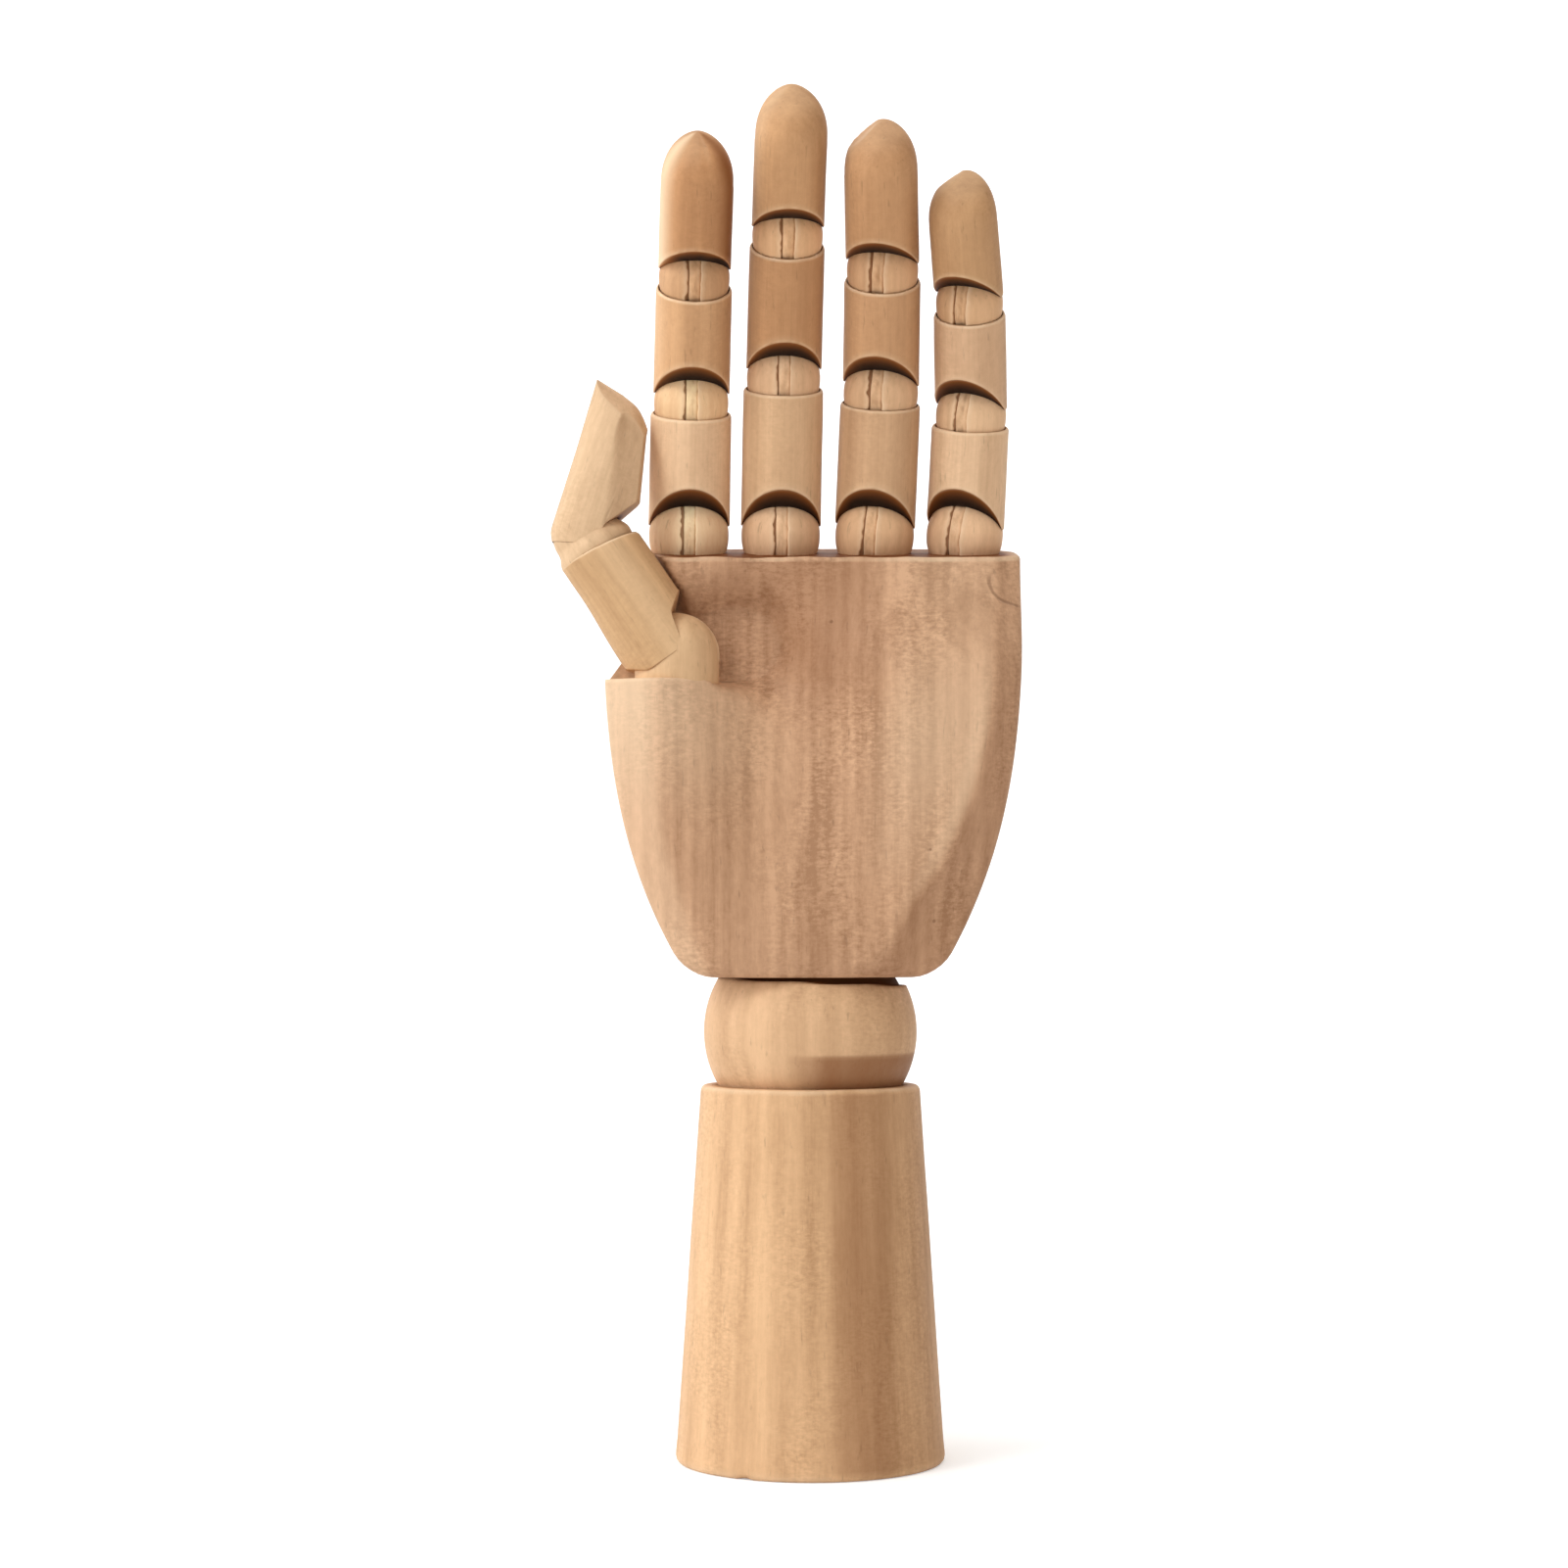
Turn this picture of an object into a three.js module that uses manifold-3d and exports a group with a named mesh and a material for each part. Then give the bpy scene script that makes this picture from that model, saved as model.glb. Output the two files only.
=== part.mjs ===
// Jointed wooden hand on a forearm stand, for drawing practice.
// Left hand, fingers up, palm towards -Y, thumb towards -X. The forearm stands on z = 0.
// Millimetres and degrees.

import * as THREE from 'three';
import { mergeVertices } from 'three/addons/utils/BufferGeometryUtils.js';
import Module from 'manifold-3d';

const wasm = await Module();
wasm.setup();

// Clearances
const BALL_GAP = 0.45;
const FIT_GAP = 0.3;

// Wrist: a ball half sunk in dished seats of the forearm and the palm
const WRIST_BALL_DIAMETER = 38;
const WRIST_BALL_RISE = 9.5;
const PALM_RISE = 9.9;

// Forearm
const FOREARM_HEIGHT = 67;
const FOREARM_BASE_DIAMETER = 48;
const FOREARM_RIM = 0.5;
const FOREARM_EDGE = 0.7;
const FOREARM_BORE_DEPTH = 18;

// Wrist spring
const SPRING_DIAMETER = 8;
const SPRING_WIRE = 1.2;
const SPRING_TURNS = 10;
const PALM_BORE_DEPTH = 14;

// Palm
const PALM_HEIGHT = 75.5;
const PALM_TOP_SLOPE = 10.3;
const PALM_FRONT_TOP = 11;
const PALM_FRONT_MOUND = 18.8;
const PALM_BACK_TOP = 11.5;
const PALM_HEEL = 1;
const PALM_CORNER = 4.2;
const PALM_EDGE = 0.8;
const PALM_NARROWING = 15;
const PALM_NARROWING_POWER = 3.2;
const PALM_SQUARENESS = 3.2;
const LITTLE_SIDE_MARGIN = 9.5;
const INDEX_SIDE_MARGIN = 7.8;
const THENAR_MARGIN = 14.7;
const HOLLOW_DEPTH = 5;
const HOLLOW_WIDTH = 52;
const HOLLOW_HEIGHT = 62;
const HOLLOW_CENTRE = 38;

// Thumb seat: a flat ledge on the palm with a scoop behind and beside the thumb
const THUMB_LEDGE_HEIGHT = 52;
const THUMB_ASIDE = 1.8;
const THUMB_FORWARD = 10;
const THUMB_LEAN = 34.5;
const THUMB_TURN = 90;
const THUMB_CLEARANCE = 0.8;
const THUMB_SWEEP = 9;
const SCOOP_WIDTH = 32;
const SCOOP_DEPTH = 15;
const SCOOP_HEIGHT = 19;

// Hinges
const SLOT_WIDTH = 3;
const TONGUE_RECESS = 0.9;
const TONGUE_WIDTH = 4.8;
const TIP_TENON = 5;
const TENON_SHARE = 0.5;
const PIN_DIAMETER = 1.6;
const PIN_INSET = 0.5;
const STEM_DIAMETER = 4.6;
const STEM_LENGTH = 2.5;
const RIM_CHAMFER = 0.4;
const PHALANX_TAPER = 0.3;

// How each kind of hinge sits: ball centre above its seat, end of the cup above the ball
// centre, slope of the cup's cut on the palm side, cup wall round the ball, and how far the
// phalanx lies behind the hinge
const ROOT_HINGE = { seat: 3.3, cup: 2, bevel: 49, wall: 0.6, back: 0 };
const FINGER_HINGE = { seat: 2, cup: 2, bevel: 49, wall: 0.6, back: 0 };
const THUMB_ROOT_HINGE = { seat: 4.5, cup: 0.9, bevel: 42, wall: 0.6, back: 1.15 };
const THUMB_HINGE = { seat: 3.5, cup: 2, bevel: 45, wall: 0.3, back: 0.8 };

// Fingertips: height of the dome, its fullness, and how far its top is drawn to the nail side
const TIP_DOME = 7.4;
const TIP_FULLNESS = 2.5;
const TIP_DRAW = 0.75;

// Finger row, from the index finger to the little finger
const INDEX_X = -21.7;
const INDEX_TO_MIDDLE = 16.4;
const MIDDLE_TO_RING = 16.8;
const RING_TO_LITTLE = 16.1;

// Each finger: lean to the side, turn about its own length, bend of its three hinges,
// and the diameters and lengths of its three phalanges from the palm outwards
const INDEX = {
  lean: 0.5, turn: 3.3, bend: [9.7, 13, 11],
  diameter: [14.5, 13.4, 12.5], length: [23.8, 23.2, 25.5],
};
const MIDDLE = {
  lean: 0.3, turn: 2.3, bend: [9.7, 13, 11],
  diameter: [14.3, 13.2, 12.4], length: [28.1, 26.2, 26],
};
const RING = {
  lean: 4.9, turn: -8, bend: [9.7, 13, 11],
  diameter: [14.3, 13.4, 12.6], length: [25.5, 22.7, 26.1],
};
const LITTLE = {
  lean: 8.4, turn: -18, bend: [9.7, 13, 11],
  diameter: [13.9, 12.7, 11.9], length: [21.4, 20.8, 23],
};
const THUMB = { bend: [0, 52], diameter: [15, 12.1], length: [26.3, 26.6] };

// Facets
const BALL_SIDES = 12;
const BALL_RINGS = 6;
const ROUND_SIDES = 16;
const WRIST_SIDES = 32;
const PALM_SIDES = 28;
const PALM_LEVELS = 8;
const PIN_SIDES = 8;
const TIP_RINGS = 5;

const degrees = THREE.MathUtils.degToRad;

const MATERIALS = {
  palm: { color: 0xc8a081, roughness: 0.62 },
  forearm: { color: 0xd9b285, roughness: 0.6 },
  wrist_ball: { color: 0xd8b083, roughness: 0.6 },
  thumb: { color: 0xdabb88, roughness: 0.58 },
  phalanx: { color: 0xd6b189, roughness: 0.6 },
  knuckle: { color: 0xdcb98f, roughness: 0.6 },
  tongue: { color: 0xcfa87c, roughness: 0.68 },
  steel: { color: 0x9c9a96, roughness: 0.35, metalness: 0.9 },
};

// Closes a geometry: shared points merged, flat triangles dropped, faces turned outwards
function closed(geometry) {
  const bare = geometry.clone();
  bare.deleteAttribute('normal');
  bare.deleteAttribute('uv');
  const merged = mergeVertices(bare, 1e-4);
  const point = merged.attributes.position;
  const corner = [new THREE.Vector3(), new THREE.Vector3(), new THREE.Vector3()];
  const index = merged.index.array;
  const kept = [];
  let volume = 0;
  for (let i = 0; i < index.length; i += 3) {
    const [a, b, c] = [index[i], index[i + 1], index[i + 2]];
    if (a === b || b === c || c === a) continue;
    kept.push(a, b, c);
    [a, b, c].forEach((id, k) => corner[k].fromBufferAttribute(point, id));
    volume += corner[0].dot(corner[1].clone().cross(corner[2]));
  }
  if (volume < 0) kept.reverse();
  merged.setIndex(kept);
  return merged;
}

function toSolid(geometry) {
  const mesh = closed(geometry);
  const vertProperties = new Float32Array(mesh.attributes.position.array);
  const triVerts = new Uint32Array(mesh.index.array);
  return new wasm.Manifold(new wasm.Mesh({ numProp: 3, vertProperties, triVerts }));
}

function toGeometry(body) {
  const mesh = body.getMesh();
  const geometry = new THREE.BufferGeometry();
  geometry.setAttribute('position', new THREE.BufferAttribute(mesh.vertProperties, 3));
  geometry.setIndex(new THREE.BufferAttribute(mesh.triVerts, 1));
  return geometry;
}

// Cuts every tool out of a geometry
function carve(geometry, ...tools) {
  const body = tools.reduce((rest, tool) => rest.subtract(toSolid(tool)), toSolid(geometry));
  return toGeometry(body);
}

// A body turned about Z from a profile of [radius, height] points
function turned(profile, sides) {
  const points = profile.map(([radius, height]) => new THREE.Vector2(radius, height));
  return new THREE.LatheGeometry(points, sides).rotateX(Math.PI / 2);
}

// Points of a circle about the origin, from one elevation to another
function arc(radius, from, to, steps) {
  return Array.from({ length: steps + 1 }, (_, i) => {
    const angle = from + (to - from) * i / steps;
    return [radius * Math.cos(angle), radius * Math.sin(angle)];
  });
}

// A skin over a stack of rings, closed by a point at each end
function lofted(first, rings, last) {
  const sides = rings[0].length;
  const points = [first, ...rings.flat(), last];
  const end = points.length - 1;
  const at = (ring, side) => 1 + ring * sides + side % sides;
  const index = [];
  for (let side = 0; side < sides; side++) {
    index.push(0, at(0, side + 1), at(0, side));
    index.push(end, at(rings.length - 1, side), at(rings.length - 1, side + 1));
    for (let ring = 0; ring + 1 < rings.length; ring++) {
      const [a, b] = [at(ring, side), at(ring, side + 1)];
      const [c, d] = [at(ring + 1, side + 1), at(ring + 1, side)];
      index.push(a, b, c, a, c, d);
    }
  }
  const geometry = new THREE.BufferGeometry().setFromPoints(points);
  geometry.setIndex(index);
  return geometry;
}

// One ring of points about Z; side 0 faces the palm side, -Y
function ring(place) {
  return Array.from({ length: ROUND_SIDES }, (_, side) => {
    const angle = 2 * Math.PI * side / ROUND_SIDES;
    return place(Math.sin(angle), -Math.cos(angle));
  });
}

function box(width, depth, bottom, top) {
  return new THREE.BoxGeometry(width, depth, top - bottom).translate(0, 0, (top + bottom) / 2);
}

const group = new THREE.Group();
group.name = 'drawing_hand';

function add(parent, name, geometry, finish) {
  const material = new THREE.MeshStandardMaterial({ metalness: 0, ...finish });
  const mesh = new THREE.Mesh(closed(geometry), material);
  mesh.geometry.computeVertexNormals();
  mesh.name = name;
  parent.add(mesh);
}

function place(parent, x, y, z) {
  const child = new THREE.Group();
  child.position.set(x, y, z);
  parent.add(child);
  return child;
}

// Knuckle ball radius in the cup of a phalanx
function ballRadius(diameter, hinge) {
  return diameter / 2 - hinge.wall;
}

// Ball with a stem below it; grown by a gap it is also the cutter for its seat
function ballOnStem(radius, gap = 0) {
  const size = radius + gap;
  const stem = STEM_DIAMETER / 2 + gap;
  const foot = -radius - STEM_LENGTH - gap;
  const neck = -Math.acos(stem / size);
  return turned([[0, foot], [stem, foot], ...arc(size, neck, Math.PI / 2, BALL_RINGS)], BALL_SIDES);
}

function pinGeometry(radius, gap = 0) {
  const size = PIN_DIAMETER / 2 + gap;
  const reach = gap > 0 ? radius + gap : radius - PIN_INSET;
  return new THREE.CylinderGeometry(size, size, 2 * reach, PIN_SIDES).rotateZ(Math.PI / 2);
}

function tongueRadius(radius) {
  return radius - TONGUE_RECESS;
}

// An outline in the YZ plane, made as thick as given along X
function sheet(shape, thickness) {
  const options = { depth: thickness, bevelEnabled: false, curveSegments: 5 };
  const geometry = new THREE.ExtrudeGeometry(shape, options);
  return geometry.translate(0, 0, -thickness / 2).rotateX(Math.PI / 2).rotateZ(Math.PI / 2);
}

// Knuckle: a ball on a stem, slotted from above for the tongue of the next phalanx
function knuckleGeometry(radius, hinge) {
  const floor = -hinge.seat - FIT_GAP;
  const sweep = tongueRadius(radius) + FIT_GAP;
  const over = radius + FIT_GAP;
  const reach = Math.sqrt(Math.max(sweep ** 2 - floor ** 2, 0));
  const slot = new THREE.Shape();
  slot.moveTo(-over, over);
  slot.lineTo(-over, floor);
  slot.lineTo(-reach, floor);
  slot.absarc(0, 0, sweep, Math.atan2(floor, -reach), Math.atan2(floor, reach), false);
  slot.lineTo(over, floor);
  slot.lineTo(over, over);
  return carve(ballOnStem(radius), sheet(slot, SLOT_WIDTH), pinGeometry(radius, FIT_GAP));
}

// Tongue: a round eye on the pin, and a tenon up into the phalanx
function tongueGeometry(radius, top) {
  const eye = tongueRadius(radius);
  const half = TONGUE_WIDTH / 2;
  const shoulder = Math.asin(half / eye);
  const outline = new THREE.Shape();
  outline.moveTo(-half, top);
  outline.absarc(0, 0, eye, Math.PI / 2 + shoulder, Math.PI / 2 - shoulder + 2 * Math.PI, false);
  outline.lineTo(half, top);
  return carve(sheet(outline, SLOT_WIDTH - 2 * FIT_GAP), pinGeometry(radius, FIT_GAP));
}

// Edge of the cup: square behind, cut on a slope towards the palm side
function cupEdge(radius, hinge) {
  const rise = Math.tan(degrees(hinge.bevel));
  return ring((x, y) => {
    const slope = Math.max(0, -y * radius - hinge.back) * rise;
    return new THREE.Vector3(radius * x, radius * y + hinge.back, hinge.cup + slope);
  });
}

// The hollow of the cup over its ball, and the mortise for the tongue
function cupCutters(radius, top) {
  const cup = turned(arc(radius + BALL_GAP, -Math.PI / 2, Math.PI / 2, BALL_RINGS), BALL_SIDES);
  const mortise = box(SLOT_WIDTH, TONGUE_WIDTH + 2 * FIT_GAP, 0, top + FIT_GAP);
  return [cup, mortise];
}

// A proximal or middle phalanx: cup at the lower end, dished seat for the next ball on top
function phalanxGeometry(lower, upper, diameter, length, nextRadius, top) {
  const radius = diameter / 2;
  const rim = length - upper.seat;
  const head = radius - PHALANX_TAPER / 2;
  const level = (size, z) => ring((x, y) => new THREE.Vector3(size * x, size * y + lower.back, z));
  const body = lofted(
    new THREE.Vector3(0, 0, lower.cup),
    [cupEdge(radius, lower), level(head, rim - RIM_CHAMFER), level(head - RIM_CHAMFER, rim)],
    new THREE.Vector3(0, lower.back, rim),
  );
  const seat = ballOnStem(nextRadius, BALL_GAP).translate(0, lower.back, length);
  return carve(body, ...cupCutters(ballRadius(diameter, lower), top), seat);
}

// A fingertip: a dome, straight on the nail side and sloped on the palm side
function tipGeometry(lower, diameter, length, top) {
  const radius = diameter / 2;
  const head = radius - PHALANX_TAPER / 2;
  const rings = arc(1, 0, Math.PI / 2, TIP_RINGS).slice(0, -1).map(([out, up]) => {
    const size = out ** (2 / TIP_FULLNESS);
    const draw = TIP_DRAW * head * (1 - size);
    const z = length - TIP_DOME * (1 - up ** (2 / TIP_FULLNESS));
    return ring((x, y) => new THREE.Vector3(head * size * x, head * size * y + draw + lower.back, z));
  });
  const body = lofted(
    new THREE.Vector3(0, 0, lower.cup),
    [cupEdge(radius, lower), ...rings],
    new THREE.Vector3(0, TIP_DRAW * head + lower.back, length),
  );
  return carve(body, ...cupCutters(ballRadius(diameter, lower), top));
}

// Heights along the build
const springRadius = SPRING_DIAMETER / 2;
const wristRadius = WRIST_BALL_DIAMETER / 2;
const wristZ = FOREARM_HEIGHT + WRIST_BALL_RISE;
const palmZ = wristZ + PALM_RISE;
const palmTopZ = palmZ + PALM_HEIGHT;
const ledgeZ = palmZ + THUMB_LEDGE_HEIGHT;
const springBottom = FOREARM_HEIGHT - FOREARM_BORE_DEPTH;
const springTop = palmZ + PALM_BORE_DEPTH;
const boreRadius = springRadius + FIT_GAP;
const wristDish = wristRadius + BALL_GAP;
const palmDish = Math.sqrt(wristDish ** 2 - PALM_RISE ** 2);

// Forearm: a tapered round stand with a dished top and a blind bore for the spring
function forearmGeometry() {
  const foot = FOREARM_BASE_DIAMETER / 2;
  const head = wristRadius + FOREARM_RIM;
  const lip = -Math.asin(WRIST_BALL_RISE / wristDish);
  const bowl = arc(wristDish, lip, -Math.acos(boreRadius / wristDish), BALL_RINGS);
  return turned([
    [0, 0],
    [foot - FOREARM_EDGE, 0],
    [foot, FOREARM_EDGE],
    [head, FOREARM_HEIGHT - FOREARM_EDGE],
    [head - FOREARM_EDGE, FOREARM_HEIGHT],
    ...bowl.map(([radius, z]) => [radius, z + wristZ]),
    [boreRadius, springBottom],
    [0, springBottom],
  ], WRIST_SIDES);
}

// Wrist ball, with a through hole for the spring
function wristBallGeometry() {
  const end = Math.acos(boreRadius / wristRadius);
  const side = arc(wristRadius, -end, end, 2 * BALL_RINGS);
  return turned([...side, side[0]], WRIST_SIDES);
}

// Wrist spring: one open coil between the two blind bores
class Coil extends THREE.Curve {
  getPoint(t) {
    const angle = 2 * Math.PI * SPRING_TURNS * t;
    const radius = (SPRING_DIAMETER - SPRING_WIRE) / 2;
    const low = springBottom + FIT_GAP + SPRING_WIRE / 2;
    const high = springTop - FIT_GAP - SPRING_WIRE / 2;
    return new THREE.Vector3(radius * Math.cos(angle), radius * Math.sin(angle), low + (high - low) * t);
  }
}

function springGeometry() {
  const coil = new Coil();
  const steps = 8 * SPRING_TURNS;
  const sides = 5;
  const points = coil.getPoints(steps);
  const frames = coil.computeFrenetFrames(steps);
  const rings = points.map((centre, i) => Array.from({ length: sides }, (_, side) => {
    const angle = 2 * Math.PI * side / sides;
    const across = frames.normals[i].clone().multiplyScalar(Math.cos(angle) * SPRING_WIRE / 2);
    const along = frames.binormals[i].clone().multiplyScalar(Math.sin(angle) * SPRING_WIRE / 2);
    return centre.clone().add(across).add(along);
  }));
  let gap = Infinity;
  points.forEach((a, i) => points.slice(i + 4).forEach((b) => {
    gap = Math.min(gap, a.distanceTo(b) - SPRING_WIRE);
  }));
  console.log(`wrist spring: least gap between turns ${gap.toFixed(2)} mm`);
  return lofted(points[0], rings, points[steps]);
}

// Finger roots along the palm's sloped top
const fingers = { index: INDEX, middle: MIDDLE, ring: RING, little: LITTLE };
const rootX = { index: INDEX_X };
rootX.middle = rootX.index + INDEX_TO_MIDDLE;
rootX.ring = rootX.middle + MIDDLE_TO_RING;
rootX.little = rootX.ring + RING_TO_LITTLE;
const slope = degrees(PALM_TOP_SLOPE);
const rootZ = palmTopZ + ROOT_HINGE.seat / Math.cos(slope);
const thumbX = rootX.index - THUMB_ASIDE;
const thumbZ = ledgeZ + THUMB_ROOT_HINGE.seat;

// Puts a group on a finger's root, leaned and turned, with its own bend
function rootGroup(parent, name, bend) {
  const finger = fingers[name];
  const root = place(parent, rootX[name], 0, rootZ);
  root.rotation.set(degrees(bend), degrees(finger.lean), degrees(finger.turn), 'YZX');
  return root;
}

// Palm: rounded sections stacked from the wrist to the sloped top, hollowed in front
function palmSection(z, cornerInset, edgeInset) {
  const right = rootX.little + LITTLE_SIDE_MARGIN;
  const left = rootX.index - THENAR_MARGIN;
  const leftTop = rootX.index - INDEX_SIDE_MARGIN;
  const ease = (t) => THREE.MathUtils.smoothstep(t, 0, 1);
  const mix = THREE.MathUtils.lerp;
  const up = Math.min(1, (z - palmZ) / PALM_HEIGHT);
  const narrowing = PALM_NARROWING * (1 - up) ** PALM_NARROWING_POWER + cornerInset;
  const pastLedge = Math.max(0, (z - ledgeZ) / (palmTopZ - ledgeZ));
  const high = right - narrowing;
  const low = mix(left, leftTop, pastLedge) + narrowing;
  const heel = palmDish + PALM_HEEL + PALM_EDGE - edgeInset;
  const mound = mix(heel, PALM_FRONT_MOUND, ease(2 * up));
  const front = mix(mound, PALM_FRONT_TOP, ease(pastLedge));
  const back = mix(heel, PALM_BACK_TOP, ease(up));
  return Array.from({ length: PALM_SIDES }, (_, side) => {
    const angle = 2 * Math.PI * side / PALM_SIDES;
    const square = (value) => Math.sign(value) * Math.abs(value) ** (2 / PALM_SQUARENESS);
    const x = (high + low) / 2 + (high - low) / 2 * square(Math.sin(angle));
    const depth = -square(Math.cos(angle));
    const aside = 2 * (x - (right + left) / 2) / HOLLOW_WIDTH;
    const along = 2 * (z - palmZ - HOLLOW_CENTRE) / HOLLOW_HEIGHT;
    const hollow = HOLLOW_DEPTH * Math.max(0, 1 - aside ** 2 - along ** 2);
    const y = depth * (depth < 0 ? front - hollow : back);
    return new THREE.Vector3(x, y, z + pastLedge * y * Math.tan(slope));
  });
}

function palmGeometry() {
  const rings = arc(1, -Math.PI / 2, 0, 3).map(([out, up]) => (
    palmSection(palmZ + PALM_CORNER * (1 + up), PALM_CORNER * (1 - out), PALM_EDGE * (1 - out))
  ));
  for (let step = 1; step <= PALM_LEVELS; step++) {
    rings.push(palmSection(palmZ + PALM_CORNER + (PALM_HEIGHT - PALM_CORNER) * step / PALM_LEVELS, 0, 0));
  }
  return lofted(new THREE.Vector3(0, 0, palmZ), rings, new THREE.Vector3(0, 0, palmTopZ));
}

// What is cut from the palm: finger seats, wrist dish and spring bore, thumb ledge and seat
function palmCutters() {
  const seats = Object.entries(fingers).map(([name, finger]) => {
    const root = rootGroup(new THREE.Group(), name, PALM_TOP_SLOPE);
    root.updateMatrix();
    return ballOnStem(ballRadius(finger.diameter[0], ROOT_HINGE), BALL_GAP).applyMatrix4(root.matrix);
  });
  const dish = turned(arc(wristDish, -Math.PI / 2, Math.PI / 2, 2 * BALL_RINGS), WRIST_SIDES);
  dish.translate(0, 0, wristZ);
  const hole = [[0, wristZ], [boreRadius, wristZ], [boreRadius, springTop], [0, springTop]];
  const bore = turned(hole, BALL_SIDES);
  const dome = turned([[0, 0], ...arc(1, 0, Math.PI / 2, BALL_RINGS)], WRIST_SIDES);
  dome.scale(SCOOP_WIDTH / 2, SCOOP_DEPTH, SCOOP_HEIGHT).translate(thumbX, -PALM_FRONT_MOUND, ledgeZ);
  const reach = THUMB.length[0] + THUMB.diameter[0];
  const around = THUMB.diameter[0] / 2 + THUMB_CLEARANCE;
  const grooves = [0, 0.5, 1].map((share) => {
    const groove = turned([[0, 0], [around, 0], [around, reach], [0, reach]], BALL_SIDES);
    groove.translate(0, THUMB_ROOT_HINGE.back, THUMB_ROOT_HINGE.cup - FIT_GAP);
    return groove.rotateX(-share * degrees(THUMB_SWEEP)).applyMatrix4(thumbRoot.matrixWorld);
  });
  const seat = ballOnStem(ballRadius(THUMB.diameter[0], THUMB_ROOT_HINGE), BALL_GAP);
  seat.applyMatrix4(thumbBase.matrixWorld);
  return [...seats, dish, bore, dome, ...grooves, seat];
}

// One hinge: the knuckle and pin stay with the lower piece, the tongue goes with the upper
function hinge(lower, upper, name, radius, kind, top) {
  add(lower, `${name}_knuckle`, knuckleGeometry(radius, kind), MATERIALS.knuckle);
  add(lower, `${name}_pin`, pinGeometry(radius), MATERIALS.steel);
  add(upper, `${name}_tongue`, tongueGeometry(radius, top), MATERIALS.tongue);
}

// Top of the tongue's tenon in a phalanx that carries another ball
function tenonTop(radius, nextRadius, length) {
  const cupTop = radius + BALL_GAP;
  const wood = length - nextRadius - STEM_LENGTH - BALL_GAP - cupTop;
  return cupTop + TENON_SHARE * wood;
}

// A chain of phalanges from its root, each hinged on the one before
function chain(name, base, root, kinds, { bend, diameter, length }, pieces, finish) {
  let lower = base;
  let upper = root;
  pieces.forEach((piece, i) => {
    const label = `${name}_${piece}`;
    const radius = ballRadius(diameter[i], kinds[i]);
    if (i === pieces.length - 1) {
      const top = radius + BALL_GAP + TIP_TENON;
      add(upper, label, tipGeometry(kinds[i], diameter[i], length[i], top), finish);
      hinge(lower, upper, label, radius, kinds[i], top);
      return;
    }
    const next = ballRadius(diameter[i + 1], kinds[i + 1]);
    const top = tenonTop(radius, next, length[i]);
    add(upper, label, phalanxGeometry(kinds[i], kinds[i + 1], diameter[i], length[i], next, top), finish);
    hinge(lower, upper, label, radius, kinds[i], top);
    lower = place(upper, 0, kinds[i].back, length[i]);
    upper = place(upper, 0, kinds[i].back, length[i]);
    upper.rotation.x = degrees(bend[i + 1]);
  });
}

const thumbBase = place(group, thumbX, -THUMB_FORWARD, thumbZ);
thumbBase.rotation.z = degrees(THUMB_TURN);
const thumbRoot = place(thumbBase, 0, 0, 0);
thumbRoot.rotation.x = -degrees(THUMB_LEAN);
group.updateMatrixWorld(true);

add(group, 'forearm', forearmGeometry(), MATERIALS.forearm);
add(group, 'wrist_spring', springGeometry(), MATERIALS.steel);
add(place(group, 0, 0, wristZ), 'wrist_ball', wristBallGeometry(), MATERIALS.wrist_ball);
add(group, 'palm', carve(palmGeometry(), ...palmCutters()), MATERIALS.palm);

const fingerHinges = [ROOT_HINGE, FINGER_HINGE, FINGER_HINGE];
const fingerPieces = ['proximal', 'middle', 'distal'];
for (const [name, finger] of Object.entries(fingers)) {
  const base = rootGroup(group, name, PALM_TOP_SLOPE);
  const root = rootGroup(group, name, PALM_TOP_SLOPE + finger.bend[0]);
  chain(name, base, root, fingerHinges, finger, fingerPieces, MATERIALS.phalanx);
}
const thumbHinges = [THUMB_ROOT_HINGE, THUMB_HINGE];
chain('thumb', thumbBase, thumbRoot, thumbHinges, THUMB, ['proximal', 'distal'], MATERIALS.thumb);

export default group;
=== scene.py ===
from collections import namedtuple
from math import acos, asin, copysign, cos, exp, hypot, inf, pi, radians, sin, sqrt, tan
import bmesh
import bpy
from mathutils import Matrix, Vector, noise


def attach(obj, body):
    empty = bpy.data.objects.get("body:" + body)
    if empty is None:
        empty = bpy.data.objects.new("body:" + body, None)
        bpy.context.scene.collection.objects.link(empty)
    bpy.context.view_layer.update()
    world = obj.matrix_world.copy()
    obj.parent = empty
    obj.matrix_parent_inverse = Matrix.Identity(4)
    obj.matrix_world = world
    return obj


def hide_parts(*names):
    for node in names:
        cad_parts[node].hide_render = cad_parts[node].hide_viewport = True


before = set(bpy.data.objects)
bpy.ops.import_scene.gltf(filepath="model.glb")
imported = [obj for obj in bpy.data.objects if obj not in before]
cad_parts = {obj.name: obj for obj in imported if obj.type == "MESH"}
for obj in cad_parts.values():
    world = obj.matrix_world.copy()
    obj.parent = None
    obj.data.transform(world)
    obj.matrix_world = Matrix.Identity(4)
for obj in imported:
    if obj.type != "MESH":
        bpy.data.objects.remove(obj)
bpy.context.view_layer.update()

# Sizes in millimetres and degrees, the same as in the part's source
MM = 0.001
FOREARM_H, FOREARM_FOOT, FOREARM_HEAD = 67.0, 24.0, 19.5
WRIST_Z, WRIST_R = 76.5, 19.0
SEAT_R = WRIST_R + 0.35
BORE_R, BORE_FLOOR = 4.3, 49.0
PALM_Z, PALM_H = 86.4, 75.5
PALM_TOP = PALM_Z + PALM_H
PALM_SLOPE = 10.3
LEDGE = 138.4
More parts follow.
